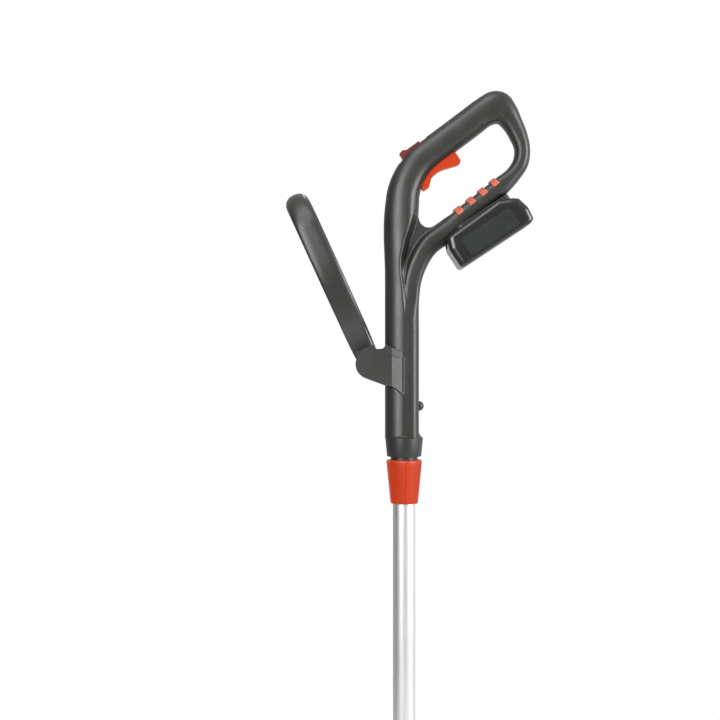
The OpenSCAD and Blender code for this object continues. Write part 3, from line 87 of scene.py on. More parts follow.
def extent(name, description, default):
    return FloatVectorProperty(name=name, description=description, default=default, size=3, unit="LENGTH",
                               precision=4)


def angle(name, description, degrees):
    return FloatProperty(name=name, description=description, default=math.radians(degrees), subtype="ANGLE")


def power(name, description, watts):
    return FloatProperty(name=name, description=description, default=watts, subtype="POWER")


def tint(name, description, default):
    return FloatVectorProperty(name=name, description=description, default=default, size=3, min=0.0, max=1.0,
                               subtype="COLOR")


class HandleSizes(PropertyGroup):
    """Sizes of the shaft, the grip and the loop, in the pole's frame."""

    shaft_front: length("Shaft front", "Front face of the shaft ahead of the tube's axis", 0.0256)
    shaft_rear: length("Shaft rear", "Rear face of the shaft behind the tube's axis", 0.0197)
    shaft_depth: length("Shaft depth", "Depth of the shaft from left to right", 0.046)
    rear_ridge_t: length("Rear ridge", "Thickness of the shaft's rear ridge", 0.02)
    rear_ridge_w: length("Rear ridge width", "Width of the shaft's rear ridge", 0.04)
    ridge_swell: length("Ridge swell", "Growth of the neck's end towards the front", 0.0012)
    ridge_x: length("Rear half place", "Place of the middle of the shaft's rear half", 0.0038)
    ridge_w: length("Rear half width", "Depth of the shaft's rear half", 0.0427)
    tube_room_r: length("Tube room", "Radius of the room for the tube in the shaft", 0.0154)
    tube_travel: length("Tube travel", "Distance by which the tube can slide up in the shaft", 0.102)
    crease_x: length("Crease", "Place of the crease between the shaft's halves", -0.001)
    skew: length("Skew", "Distance of the shaft's deepest place behind its middle", 0.006)
    neck_swell: length("Neck swell", "Growth of the neck's depth at its middle", 0.0025)
    shell_foot: length("Shell foot", "Height of the shells' lower end above the collar's foot", 0.0878)
    upper_t: length("Upper shaft", "Thickness of the shaft under its bend", 0.0453)
    straight_h: length("Straight height", "Height up to which the shaft is straight", 0.3)
    bend_h: length("Bend height", "Height at which the shaft bends into the grip", 0.395)
    bend_r: length("Bend radius", "Radius of the bend on its centre line", 0.088)
    grip_slope: angle("Grip slope", "Slope of the grip above the horizontal", 36.87)
    grip_h: length("Grip height", "Height of the grip's section", 0.0389)
    grip_w: length("Grip width", "Width of the grip's section", 0.036)
    loop_len: length("Loop length", "Length of the loop behind the bend", 0.115)
    loop_h: length("Loop height", "Height of the loop on its centre lines", 0.097)
    rear_bar_t: length("Rear bar", "Thickness of the loop's rear bar", 0.0212)
    rear_bar_w: length("Rear bar width", "Width of the loop's rear bar", 0.03)
    lower_bar_t: length("Lower bar", "Thickness of the loop's lower bar", 0.0266)
    lower_bar_w: length("Lower bar width", "Width of the loop's lower bar", 0.034)
    neck_r: length("Neck radius", "Radius of the neck on its centre line", 0.11)
    neck_h: length("Neck height", "Height at which the neck leaves the shaft", 0.276)
    neck_turn: angle("Neck turn", "Turn of the neck from the lower bar to the shaft", 52.0)
    hole_r: length("Hole corner", "Radius of the hand hole's front corner", 0.0125)
    hole_h: length("Hole corner height", "Height of that corner's centre", 0.38)
    web_w: length("Web width", "Width of the web between the shaft and the lower bar", 0.016)
    wall: length("Wall", "Wall of the two shells", 0.0028)
    seam: length("Seam", "Gap between the two shells", 0.0002)
    trigger_front: length("Trigger front", "Front end of the trigger along the grip", -0.036)
    trigger_len: length("Trigger length", "Length of the trigger", 0.066)
    trigger_w: length("Trigger width", "Width of the trigger", 0.014)
    lock_front: length("Lock front", "Front end of the lock button along the grip", -0.032)
    lock_len: length("Lock length", "Length of the lock button", 0.032)
    lock_travel: length("Lock travel", "Travel of the lock button", 0.005)
    stud_h: length("Stud height", "Height of the stop stud on the rear ridge", 0.13)
    groove_r: length("Groove", "Radius of the grooves beside the loop's edges", 0.0011)
    groove_in: length("Groove inset", "Distance of the grooves from the loop's edges", 0.0062)
    pad_t: length("Pad", "Thickness of the soft pad over the grip", 0.0005)


class PackSizes(PropertyGroup):
    """Sizes of the battery pack and its dock."""

    size: extent("Pack size", "Length, width and height of the battery pack", (0.117, 0.076, 0.041))
    slope: angle("Pack slope", "Slope of the battery pack", 33.4)
    drop: length("Pack drop", "Gap between the lower bar and the pack", 0.004)
    dock_h: length("Dock height", "Height of the dock over the pack", 0.009)
    dock_w: length("Dock width", "Width of the dock", 0.05)
    cheek_in: length("Cheek inside", "Distance of the cheeks' inner faces from the middle", 0.0262)
    cheek_round: length("Cheek rounding", "Depth over which the cheeks' rims are rounded", 0.0065)
    rail_size: extent("Rail", "Length, width and height of the pack's rail", (0.0714, 0.04, 0.006))


class SecondSizes(PropertyGroup):
    """Sizes of the second handle, in its own frame on the pivot."""

    reach: length("Pivot reach", "Distance of the pivot ahead of the tube's axis", 0.0448)
    height: length("Pivot height", "Height of the pivot above the collar", 0.186)
    tilt: angle("Tilt", "Tilt of the second handle ahead of upright", 24.5)
    len: length("Length", "Length from the pivot to the tip", 0.246)
    width: length("Width", "Width of the bar, seen from the side", 0.0325)
    span: length("Span", "Outer span of the loop from left to right", 0.122)
    arm_t: length("Arm", "Thickness of the loop's arms", 0.015)
    rise: length("Hub rise", "Distance from the pivot to the loop's roots", 0.022)
    root_in: length("Root sink", "Length of the roots inside the hub", 0.012)
    root_y: length("Root place", "Distance of a root from the middle", 0.012)
    root_t: length("Root", "Thickness of a root", 0.013)
    panel_t: length("Panel", "Height of the side panels", 0.0009)


class BracketSizes(PropertyGroup):
    """Sizes of the second handle's bracket."""

    ear_r: length("Ear radius", "Radius of the bracket's ears", 0.02)
    ear_gap: length("Ear gap", "Distance of an ear's inner face from the middle", 0.0213)
    ear_y: length("Ear face", "Distance of an ear's outer face from the middle", 0.0263)
    facet_x: length("Facet start", "Place of the facet's front edge", -0.0168)
    facet_end_x: length("Facet end", "Place of the facet's rear edge", -0.0004)
    facet_end_y: length("Facet end depth", "Depth of the facet's rear edge", 0.0188)
    low: length("Rear drop", "Drop of the bracket's rear corner under the pivot", 0.041)
    sag: length("Sag", "Drop of the bracket's lower edge under the pivot", 0.029)
    heel: length("Heel", "Distance of the lower edge's bend from the sag line", 0.0085)
    hub_r: length("Hub room", "Radius of the room for the hub", 0.0176)
    lip: length("Lip", "Height of the lip over the facet", 0.0014)
    shaft_x: length("Shaft face", "Place of the shaft's front face", -0.025)
    fillet_r: length("Fillet", "Radius of the fillet between the bracket and the shaft", 0.0065)


class ClampSizes(PropertyGroup):
    """Sizes of the ferrule and the twist collar."""

    height: length("Collar height", "Height of the twist collar", 0.0585)
    top_r: length("Collar top", "Upper radius of the twist collar", 0.0252)
    foot_r: length("Collar foot", "Lower radius of the twist collar", 0.0193)
    faces: IntProperty(name="Faces", description="Number of slack faces round the collar", default=6, min=3)
    face_r: length("Face radius", "Radius of a face across the collar", 0.04)
    face_cut: length("Face depth", "Depth of a face's middle below the ridges", 0.0012)
    line_cut: length("Line depth", "Depth of the line along each ridge", 0.0011)
    line_turn: angle("Line width", "Half of the line's width round the collar", 2.6)
    ridge_turn: angle("Ridge turn", "Turn of a ridge from the left side of the part", 3.0)
    ferrule_r: length("Ferrule", "Largest radius of the ferrule", 0.0252)
    ferrule_foot_r: length("Ferrule foot", "Lower radius of the ferrule", 0.0229)
    ferrule_z: length("Ferrule height", "Height of the ferrule's lower edge", 0.0628)


class FinishColours(PropertyGroup):
    """Colours of the finishes."""

    charcoal: tint("Shell plastic", "Moulded plastic of the shells", (0.0115, 0.0118, 0.0098))
    black: tint("Black plastic", "Moulded plastic of the darker pieces", (0.0095, 0.0098, 0.0083))
    head: tint("Head plastic", "Moulded plastic of the cutting head", (0.014, 0.0143, 0.0122))
    soft: tint("Soft grip", "Soft pad over the grip", (0.014, 0.0143, 0.0125))
    speckle: tint("Speckle", "Lighter speckle of the soft pad", (0.05, 0.05, 0.046))
    pack: tint("Pack plastic", "Polished plastic of the battery pack", (0.0085, 0.009, 0.0078))
    label: tint("Label field", "Bare field on the battery pack's sides", (0.0099, 0.0134, 0.0111))
    orange: tint("Orange plastic", "Satin plastic of the controls", (0.5, 0.036, 0.003))
    lock: tint("Lock plastic", "Dark red plastic of the lock button", (0.14, 0.013, 0.006))
    ribs: tint("Rib plastic", "Softer orange of the ribs", (0.52, 0.12, 0.075))
    tube: tint("Tube metal", "Drawn aluminium of the pole", (0.74, 0.75, 0.75))
    steel: tint("Steel", "Zinc-plated steel of the fasteners", (0.5, 0.51, 0.52))
    contact: tint("Contact metal", "Copper alloy of the contacts", (0.62, 0.33, 0.14))
    cell: tint("Cell sleeve", "Sleeve of the cells", (0.05, 0.16, 0.3))
    board: tint("Circuit board", "Lacquer of the boards", (0.02, 0.14, 0.06))


class StageSizes(PropertyGroup):
    """Camera, floor and light."""

    camera: FloatVectorProperty(name="Camera", description="Place of the camera", size=3,
                                default=(-0.1405, -2.0, 0.7033), subtype="TRANSLATION")
    lens: FloatProperty(name="Lens", description="Focal length of the camera in millimetres", default=75.0)
    floor_r: length("Floor radius", "Radius of the pale floor", 1.15)
    room: FloatProperty(name="Room light", description="Strength of the even light from the room",
                        default=0.24)
    front: power("Front lamp", "Power of the tall soft lamp left of the camera", 32.0)
    top: power("Top lamp", "Power of the broad soft lamp overhead", 14.0)
    key: power("Key lamp", "Power of the tall soft lamp on the right", 38.0)


# Forms

# Rounding of edges: points this close are one, faces this flat in degrees are one, weight of large faces
WELD_GAP, FLAT_TURN, FACE_WEIGHT = 0.00001, 0.6, 60


def mix(a, b, t):
    return a + (b - a) * t


def turned(x, z, a):
    return x * math.cos(a) - z * math.sin(a), x * math.sin(a) + z * math.cos(a)


def knots_through(stations, pitch):
    """Places on a smooth curve through stations: x, z, heading x, heading z, then the section's half height,
    half depth, squareness and, where the stations have one, its skew."""
    path = [Vector(s) for s in stations]
    gaps = [(b - a).to_2d().length for a, b in zip(path, path[1:])]
    steps = [(b - a) / g for a, b, g in zip(path, path[1:], gaps)]
    slopes = [steps[0]]
    for before, after, p, q in zip(steps, steps[1:], gaps, gaps[1:]):
        slopes.append((before * q + after * p) / (p + q))
    slopes.append(steps[-1])
    knots = []
    for i, gap in enumerate(gaps):
        a, b, u, v = path[i], path[i + 1], slopes[i] * gap, slopes[i + 1] * gap
        count = max(1, math.ceil(gap / pitch))
        for k in range(count + (i == len(gaps) - 1)):
            t = k / count
            place = (a * (2 * t ** 3 - 3 * t ** 2 + 1) + u * (t ** 3 - 2 * t ** 2 + t)
                     + b * (3 * t ** 2 - 2 * t ** 3) + v * (t ** 3 - t ** 2))
            heading = (a * (6 * t ** 2 - 6 * t) + u * (3 * t ** 2 - 4 * t + 1)
                       + b * (6 * t - 6 * t ** 2) + v * (3 * t ** 2 - 2 * t)).to_2d().normalized()
            knots.append((place[0], place[1], heading[0], heading[1], *place[2:]))
    return knots


def squared(value, e):
    return math.copysign(abs(value) ** (2 / e), value)


def rim_point(knot, a, grow):
    """A point of a knot's squared oval section; a skew moves its deepest place off the middle."""
    c, skew = squared(math.cos(a), knot[6]), knot[7] if len(knot) > 7 else 0.0
    h = (knot[4] + grow + math.copysign(skew, c)) * c - skew
    d = (knot[5] + grow) * squared(math.sin(a), knot[6])
    return Vector((knot[0] - knot[3] * h, d, knot[1] + knot[2] * h))


def arc(knot, grow, low, high, steps):
    """Points of a rim between two angles, both included."""
    return [rim_point(knot, mix(low, high, i / steps), grow) for i in range(steps + 1)]


def rim(knot, grow, steps):
    return arc(knot, grow, 0.0, math.tau * (steps - 1) / steps, steps - 1)


def patch(knot, thick, middle, reach, steps):
    """Ring of a thin patch that lies on a section, on both sides of an angle."""
    low, high = middle - reach, middle + reach
    return arc(knot, thick, low, high, steps) + arc(knot, -thick, high, low, steps)


def turns(steps):
    return [math.tau * i / steps for i in range(steps)]


def circle(r, z, steps):
    return [Vector((r * math.cos(a), r * math.sin(a), z)) for a in turns(steps)]


def disc(x, z, r, steps=32):
    return [(x + r * math.cos(a), z + r * math.sin(a)) for a in turns(steps)]


def rounded(corners, steps=6):
    """An outline whose corners (x, z, radius) are rounded."""
    outline = []
    for i, (x, z, r) in enumerate(corners):
        here = Vector((x, z))
        back = (Vector(corners[i - 1][:2]) - here).normalized()
        ahead = (Vector(corners[(i + 1) % len(corners)][:2]) - here).normalized()
        half = back.angle(ahead) / 2
        middle = here + (back + ahead).normalized() * (r / math.sin(half))
        reach = r / math.tan(half)
        first, last = here + back * reach - middle, here + ahead * reach - middle
        for k in range(steps + 1):
            outline.append(tuple(middle + first.lerp(last, k / steps).normalized() * r))
    return outline


def slab(outline, low, high):
    """Rings of an outline drawn in X and Z, at one Y and another."""
    return [[Vector((x, y, z)) for x, z in outline] for y in (low, high)]


def tower(plan, low, high):
    """Rings of a plan drawn in X and Y, at one height and another."""
    return [[Vector((x, y, z)) for x, y in plan] for z in (low, high)]


def skin(bm, rings, looped):
    """Joins a row of rings into a closed skin, with a face at each end or looped back to its start."""
    rows = [[bm.verts.new(p) for p in ring] for ring in rings]
    for lower, upper in zip(rows, rows[1:] + rows[:1] if looped else rows[1:]):
        for j in range(len(lower)):
            k = (j + 1) % len(lower)
            bm.faces.new((lower[j], lower[k], upper[k], upper[j]))
    if not looped:
        bm.faces.new(list(reversed(rows[0])))
        bm.faces.new(rows[-1])


def made(name, bm, place):
    """An object from a bmesh, with its place in its mesh."""
    bmesh.ops.recalc_face_normals(bm, faces=bm.faces)
    bm.transform(place)
    mesh = bpy.data.meshes.new(name)
    bm.to_mesh(mesh)
    bm.free()
    obj = bpy.data.objects.new(name, mesh)
    bpy.context.scene.collection.objects.link(obj)
    return obj


def solid(name, place, *skins, looped=False):
    """An object of one or more closed skins, each given by its rings."""
    bm = bmesh.new()
    for rings in skins:
        skin(bm, rings, looped)
    return made(name, bm, place)


def cutter(place, low, high):
    """A box between two corners."""
    outline = [(low[0], low[2]), (high[0], low[2]), (high[0], high[2]), (low[0], high[2])]
    return solid("cutter", place, slab(outline, low[1], high[1]))


def baked(obj):
    """Applies the object's modifiers to its mesh."""
    bpy.context.view_layer.update()
    graph = bpy.context.evaluated_depsgraph_get()
    mesh = bpy.data.meshes.new_from_object(obj.evaluated_get(graph))
    old = obj.data
    obj.modifiers.clear()
    obj.data = mesh
    mesh.name = obj.name
    bpy.data.meshes.remove(old)
    return obj


def carve(obj, tool, operation="DIFFERENCE"):
    """Cuts, trims or joins one closed mesh by another, which is then dropped."""
    cut = obj.modifiers.new("carve", "BOOLEAN")
    cut.operation = operation
    cut.object = tool
    cut.solver = "MANIFOLD"
    baked(obj)
    drop(tool)
    if not obj.data.polygons:
        raise RuntimeError(f"nothing is left of {obj.name} after a cut")


def drop(obj):
    mesh = obj.data
    bpy.data.objects.remove(obj)
    bpy.data.meshes.remove(mesh)


def smooth(obj, sharp):
    """Smooth shading with sharp edges above an angle in degrees."""
    obj.data.shade_smooth()
    obj.data.set_sharp_from_angle(angle=math.radians(sharp))


def soften(obj, width, sharp=40.0, segments=3):
    """Rounds the hard edges of a mesh with modifiers, so that the mesh itself stays as it is."""
    obj.data.shade_smooth()
    weld = obj.modifiers.new("weld", "WELD")
    weld.merge_threshold = WELD_GAP
    flat = obj.modifiers.new("flat faces", "DECIMATE")
    flat.decimate_type = "DISSOLVE"
    flat.angle_limit = math.radians(FLAT_TURN)
    edge = obj.modifiers.new("round edges", "BEVEL")
    edge.width = width
    edge.segments = segments
    edge.limit_method = "ANGLE"
    edge.angle_limit = math.radians(sharp)
    edge.miter_outer = "MITER_ARC"
    normal = obj.modifiers.new("face normals", "WEIGHTED_NORMAL")
    normal.keep_sharp = False
    normal.weight = FACE_WEIGHT


def coat(obj, finish_name):
    obj.data.materials.clear()
    obj.data.materials.append(finish(finish_name))


def piece(obj, body, slot, finish_name, *nodes):
    """Gives a new piece its finish and its body, and hides the CAD nodes that it stands for."""
    coat(obj, finish_name)
    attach(obj, body)
    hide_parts(*nodes)


def dress(step):
    """Gives the CAD nodes of one building step their finishes and rounded edges."""
    for finish_name, width, *nodes in DRESSED[step]:
        for name in nodes:
            coat(NODES[name], finish_name)
            soften(NODES[name], width)


# Finishes

# Part of a noise's range that is used, and the range and the levels of the worn spots on edges
NOISE_SPAN, WEAR_SPOTS = (0.3, 0.7), (0.35, 0.65, 0.35, 1.0)
# Darkest and lightest tone of a finish, and the tone of metal that is rubbed bright
PLASTIC_TONES, METAL_TONES, METAL_WEAR = (0.9, 1.1), (0.92, 1.06), 1.15
# Changes of roughness, and the soft pad's roughness, grain and range of the speckle
SMUDGE_LESS, SMUDGE_MORE, LINE_SWING = 0.04, 0.06, 0.06
PAD_ROUGH, PAD_GRAIN, SPECKLE_SPAN = (0.62, 0.78), 520.0, (0.16, 0.3)
# Strengths and heights of the bumps
GRAIN_HEIGHT, PAD_BUMP, LINE_BUMP, LINE_TONE_SCALE = 0.00003, (0.7, 0.0002), (0.12, 0.00004), 220.0
# Colour, roughness, then where not as usual: grain's scale and depth, tone of rubbed edges, gloss
PLASTICS = {
    "shell_plastic": ("charcoal", 0.39),
    "black_plastic": ("black", 0.42),
    "head_plastic": ("head", 0.46, 700.0, 0.4),
    "pack_plastic": ("pack", 0.19, 1100.0, 0.02, 1.4),
    "label_field": ("label", 0.3, 1400.0, 0.06, 1.2),
    "orange_plastic": ("orange", 0.27, 1100.0, 0.08, 1.12, 0.4),
    "lock_plastic": ("lock", 0.4, 1100.0, 0.12, 1.15, 0.45),
    "rib_plastic": ("ribs", 0.5, 900.0, 0.2, 1.15, 0.4),
    "cell_can": ("cell", 0.3, 400.0, 0.1, 1.2),
    "circuit_board": ("board", 0.28, 600.0, 0.2, 1.3),
}
# Colour and roughness, then the lines' scale and stretch where not as usual
METALS = {
    "tube_metal": ("tube", 0.41),
    "steel": ("steel", 0.34, 900.0, 0.4),
    "contact_metal": ("contact", 0.3, 1200.0, 0.5),
}
# Building steps of the CAD nodes that stay: finish, width of the rounded edges and nodes
DRESSED = {
    "grip": (("rib_plastic", 0.0009, "grip_ribs"), ("orange_plastic", 0.0016, "trigger"),
             ("lock_plastic", 0.0011, "lock_button")),
    "second": (("black_plastic", 0.0012, "second_hub"), ("orange_plastic", 0.0008, "pivot_knob"),
               ("steel", 0.0003, "bracket_screws", "pivot_bolt", "pivot_washers")),
    "battery": (("shell_plastic", 0.0004, "pack_latch"), ("black_plastic", 0.0008, "battery_dock"),
                ("contact_metal", 0.0002, "dock_blades"), ("cell_can", 0.0006, "pack_cells"),
                ("circuit_board", 0.0002, "pack_board"), ("steel", 0.0002, "pack_screws", "latch_spring")),
    "clamp": (("black_plastic", 0.0004, "stop_stud", "collet", "tube_guide"),
              ("tube_metal", 0.0003, "pole_tube")),
    "head": (("head_plastic", 0.001, "head_socket", "motor_cover", "motor_housing", "guard", "ground_glide"),
             ("orange_plastic", 0.0008, "tilt_pedal", "cutter_blade"),
             ("black_plastic", 0.0006, "cutter_disc"),
             ("steel", 0.0003, "socket_screw", "tilt_pin", "pedal_spring", "housing_screws", "motor",
              "spindle", "spindle_bearing", "glide_screw", "guard_screws", "plant_guard")),
    "inner": (("steel", 0.0002, "shell_screws", "trigger_pin", "trigger_spring", "lock_spring"),
              ("black_plastic", 0.0004, "switch_block", "motor_lead", "coiled_lead"),
              ("circuit_board", 0.0002, "control_board"), ("orange_plastic", 0.0003, "switch_lead")),
}


def wire(tree, node, values):
    """Links or sets inputs of a node."""
    for key, value in values.items():
        if hasattr(value, "is_output"):
            tree.links.new(value, node.inputs[key])
        else:
            node.inputs[key].default_value = value


def add(tree, kind, inputs=None, **settings):
    new = tree.nodes.new(kind)
    for key, value in settings.items():
        setattr(new, key, value)
    wire(tree, new, inputs or {})
    return new


def group(name, inputs, outputs):
    """A new shader node group with float inputs and outputs; returns it with its two end nodes."""
    tree = bpy.data.node_groups.new(name, "ShaderNodeTree")
    for key, value in inputs.items():
        socket = tree.interface.new_socket(name=key, in_out="INPUT", socket_type="NodeSocketFloat")
        socket.default_value = value
    for key in outputs:
        tree.interface.new_socket(name=key, in_out="OUTPUT", socket_type="NodeSocketFloat")
    return tree, tree.nodes.new("NodeGroupInput"), tree.nodes.new("NodeGroupOutput")


def own_place(tree):
    return add(tree, "ShaderNodeTexCoord").outputs["Object"]


def noise(tree, vector, scale, detail, roughness=0.55):
    return add(tree, "ShaderNodeTexNoise", {"Vector": vector, "Scale": scale, "Detail": detail,
                                            "Roughness": roughness}).outputs["Fac"]


def ranged(tree, value, low, high, to_low=0.0, to_high=1.0):
    return add(tree, "ShaderNodeMapRange", {"Value": value, "From Min": low, "From Max": high,
                                            "To Min": to_low, "To Max": to_high}).outputs["Result"]


def maths(tree, a, b, operation="MULTIPLY"):
    return add(tree, "ShaderNodeMath", {0: a, 1: b}, operation=operation).outputs["Value"]


def grain_group():
    """Fine texture of a moulding tool, with slow changes of tone."""
    tree, start, end = group("Moulded Grain", {"Scale": 900.0, "Patches": 18.0}, ("Height", "Tone"))
    place, scale = own_place(tree), start.outputs["Scale"]
    fine = noise(tree, place, scale, detail=2.0, roughness=0.6)
    cells = add(tree, "ShaderNodeTexVoronoi", {"Vector": place, "Scale": scale}).outputs["Distance"]
    wire(tree, end, {"Height": maths(tree, fine, cells),
                     "Tone": noise(tree, place, start.outputs["Patches"], detail=5.0)})
    return tree


def wear_group():
    """Mask of the edges that hands and ground rub bright."""
    tree, start, end = group("Edge Wear", {"From": 0.53, "To": 0.62, "Scale": 140.0}, ("Mask",))
    edge = add(tree, "ShaderNodeNewGeometry").outputs["Pointiness"]
    mask = ranged(tree, edge, start.outputs["From"], start.outputs["To"])
    spots = ranged(tree, noise(tree, own_place(tree), start.outputs["Scale"], detail=3.0), *WEAR_SPOTS)
    wire(tree, end, {"Mask": maths(tree, mask, spots)})
    return tree


def handling_group():
    """Soft smudges left by hands, as a change of gloss."""
    tree, start, end = group("Handling Marks", {"Scale": 26.0}, ("Smudge",))
    broad = noise(tree, own_place(tree), start.outputs["Scale"], detail=6.0, roughness=0.65)
    wire(tree, end, {"Smudge": ranged(tree, broad, *NOISE_SPAN)})
    return tree


def drawn_group():
    """Fine lines along a drawn or turned metal piece."""
    tree, start, end = group("Drawn Lines", {"Scale": 1500.0, "Stretch": 0.01}, ("Height", "Tone"))
    stretch = add(tree, "ShaderNodeCombineXYZ", {0: 1.0, 1: 1.0, 2: start.outputs["Stretch"]})
    lines = add(tree, "ShaderNodeVectorMath", {0: own_place(tree), 1: stretch.outputs["Vector"]},
                operation="MULTIPLY").outputs["Vector"]
    wire(tree, end, {"Height": noise(tree, lines, start.outputs["Scale"], detail=3.0),
                     "Tone": noise(tree, lines, LINE_TONE_SCALE, detail=4.0)})
    return tree


GROUPS = {"grain": grain_group, "wear": wear_group, "handling": handling_group, "drawn": drawn_group}
SHARED = {}


def shared(tree, name, **values):
    """Places a shared effect in a material, with its own values."""
    if name not in SHARED:
        SHARED[name] = GROUPS[name]()
    return add(tree, "ShaderNodeGroup", values, node_tree=SHARED[name]).outputs


def blank(name):
    """A material with its shader alone."""
    material = bpy.data.materials.new(f"{name}_finish")
    material.use_nodes = True
    tree = material.node_tree
    return material, tree, tree.nodes["Principled BSDF"]


def colours(tree, factor, a, b):
    return add(tree, "ShaderNodeMix", {0: factor, 6: a, 7: b}, data_type="RGBA").outputs[2]


def shade(colour, factor):
    return tuple(min(1.0, c * factor) for c in colour) + (1.0,)


def toned(tree, tone, colour, tones):
    """A colour that a noise moves between two tones."""
    return colours(tree, ranged(tree, tone, *NOISE_SPAN), *(shade(colour, t) for t in tones))


def bump(tree, height, strength, distance):
    return add(tree, "ShaderNodeBump", {"Height": height, "Strength": strength,
                                        "Distance": distance}).outputs["Normal"]


def plastic(name, colour, rough, grain=900.0, depth=0.3, wear=1.8, gloss=0.7):
    """Moulded plastic with a fine grain, slow changes of tone, smudges and rubbed edges."""
    material, tree, shader = blank(name)
    texture, smudge = shared(tree, "grain", Scale=grain), shared(tree, "handling")["Smudge"]
    plain = toned(tree, texture["Tone"], colour, PLASTIC_TONES)
    wire(tree, shader, {
        "Base Color": colours(tree, shared(tree, "wear")["Mask"], plain, shade(colour, wear)),
        "Roughness": ranged(tree, smudge, 0.0, 1.0, rough - SMUDGE_LESS, rough + SMUDGE_MORE),
        "Normal": bump(tree, texture["Height"], depth, GRAIN_HEIGHT),
        "Specular IOR Level": gloss,
    })
    return material


def rubber(name, colour, fleck):
    """Soft overmoulded pad with a lighter speckle in its grain."""
    material, tree, shader = blank(name)
    texture, smudge = shared(tree, "grain", Scale=PAD_GRAIN), shared(tree, "handling")["Smudge"]
    spots = ranged(tree, texture["Height"], *SPECKLE_SPAN)
    wire(tree, shader, {
        "Base Color": colours(tree, spots, shade(colour, 1.0), shade(fleck, 1.0)),
        "Roughness": ranged(tree, smudge, 0.0, 1.0, *PAD_ROUGH),
        "Normal": bump(tree, texture["Height"], *PAD_BUMP),
    })
    return material


def metal(name, colour, rough, scale=1500.0, stretch=0.01):
    """Drawn or turned metal with fine lines and a little wear."""
    material, tree, shader = blank(name)
    lines = shared(tree, "drawn", Scale=scale, Stretch=stretch)
    plain = toned(tree, lines["Tone"], colour, METAL_TONES)
    wire(tree, shader, {
        "Base Color": colours(tree, shared(tree, "wear")["Mask"], plain, shade(colour, METAL_WEAR)),
        "Roughness": ranged(tree, lines["Height"], *NOISE_SPAN, rough - LINE_SWING, rough + LINE_SWING),
        "Normal": bump(tree, lines["Height"], *LINE_BUMP),
        "Metallic": 1.0,
    })
    return material


def build_finish(name):
    c = bpy.context.scene.trimmer_finishes
    if name == "soft_grip":
        return rubber(name, c.soft, c.speckle)
    build, row = (plastic, PLASTICS[name]) if name in PLASTICS else (metal, METALS[name])
    return build(name, getattr(c, row[0]), *row[1:])


FINISHES = {}


def finish(name):
    """The finish of that name, built on its first use."""
    if name not in FINISHES:
        FINISHES[name] = build_finish(name)
    return FINISHES[name]


# Handle shells

# Squareness of the sections: 2 is an oval, more is squarer
SHAFT_E, GRIP_E, LOWER_E, NECK_E, RIDGE_E = 2.2, 2.5, 3.0, 4.4, 3.1
# Heights on the shaft, how far right of the crease the front half's fall starts there, the share of its depth
# that is left behind it, and the width of the fall: a sharp crease low down and a soft cove beside the neck
COVE_PLACES = ((0.262, 0.001, 0.8, 0.001), (0.286, -0.002, 0.79, 0.004), (0.309, -0.006, 0.77, 0.006),
               (0.326, -0.0055, 0.45, 0.009), (0.351, 0.0, 0.34, 0.011), (0.368, 0.006, 0.4, 0.012),
               (0.398, 0.016, 1.0, 0.012))
HOLLOW_SHARE = 0.84
BEND_SHARES = (0.0, 0.25, 0.5, 0.75, 1.0)
NECK_SHARES = (0.3, 0.55, 0.8, 1.0)
# Heights of stations on the shaft's rear half, as shares of the way from its foot to the neck
REAR_SHARES = (0.85, 0.75, 0.65)
# Front half: its half depth as a share of the shaft's depth, then the skew's share and fade along the bend
DEPTH_SHARE, SKEW_SHARE, SKEW_FADE = 0.48, 0.8, 1.4
# Half thickness of the neck's two ends, as shares of the lower bar and of the rear ridge
NECK_ENDS = (0.55, 0.525)
# Bar, then shares of the loop's length and height, then shares of the bar's thickness and width
LOOP_SHARES = (
    ("grip", 0.2, 0.0, 0.5, 0.5), ("grip", 0.41, 0.0, 0.5, 0.5), ("grip", 0.62, 0.0, 0.5, 0.5),
    ("grip", 0.8, 0.0, 0.5, 0.5), ("grip", 0.968, -0.06, 0.56, 0.5), ("grip", 0.997, -0.19, 0.45, 0.49),
    ("rear", 0.993, -0.342, 0.66, 0.54), ("rear", 0.963, -0.537, 0.57, 0.5),
    ("rear", 0.913, -0.701, 0.5, 0.5), ("rear", 0.794, -0.854, 0.5, 0.5), ("rear", 0.639, -0.923, 0.5, 0.5),
    ("lower", 0.466, -0.948, 0.47, 0.47), ("lower", 0.217, -0.964, 0.49, 0.5),
    ("lower", -0.13, -0.974, 0.5, 0.5), ("lower", -0.374, -1.0, 0.53, 0.5),
)
# Headings along X: below the first the curve has turned back, above the second it runs along the grip
BACK_HEADING, GRIP_HEADING = -0.05, 0.5
# Distances between rings of the outer form, the trim and the hollow, and points on their rings
SHELL_PITCH, TRIM_PITCH, HOLLOW_PITCH = 0.002, 0.003, 0.006
SHAFT_STEPS, RIDGE_STEPS, HOLLOW_STEPS, BORE_STEPS, WIRE_STEPS = 120, 100, 40, 64, 10
# Lengths by which the outer form and the hollow run on below the shells' foot
SHELL_RUN, HOLLOW_RUN = 0.008, 0.02
VOXEL, RELAX_FACTOR, RELAX_TIMES = 0.001, 0.5, 4
# Corner of the hand hole: first angle and turn in degrees and steps, then the web's tail in corner radii
CORNER_START, CORNER_TURN, CORNER_STEPS = 180, 125, 12
WEB_TAIL = ((2.2, 0.3), (2.0, -1.0), (0.5, -2.5))
# Screws: inset and margin on the shaft, places on the loop as shares of its length and height, seats
SCREW_INSET, SCREW_MARGIN = 0.0056, 0.026
SCREW_SHARES = ((-0.45, 0.0), (0.58, 0.0), (0.97, -0.3), (0.82, -0.82))
SEAT_R, SEAT_Y, STUD_SEAT_R, STUD_SINK = 0.0034, 0.008, 0.0068, 0.0016
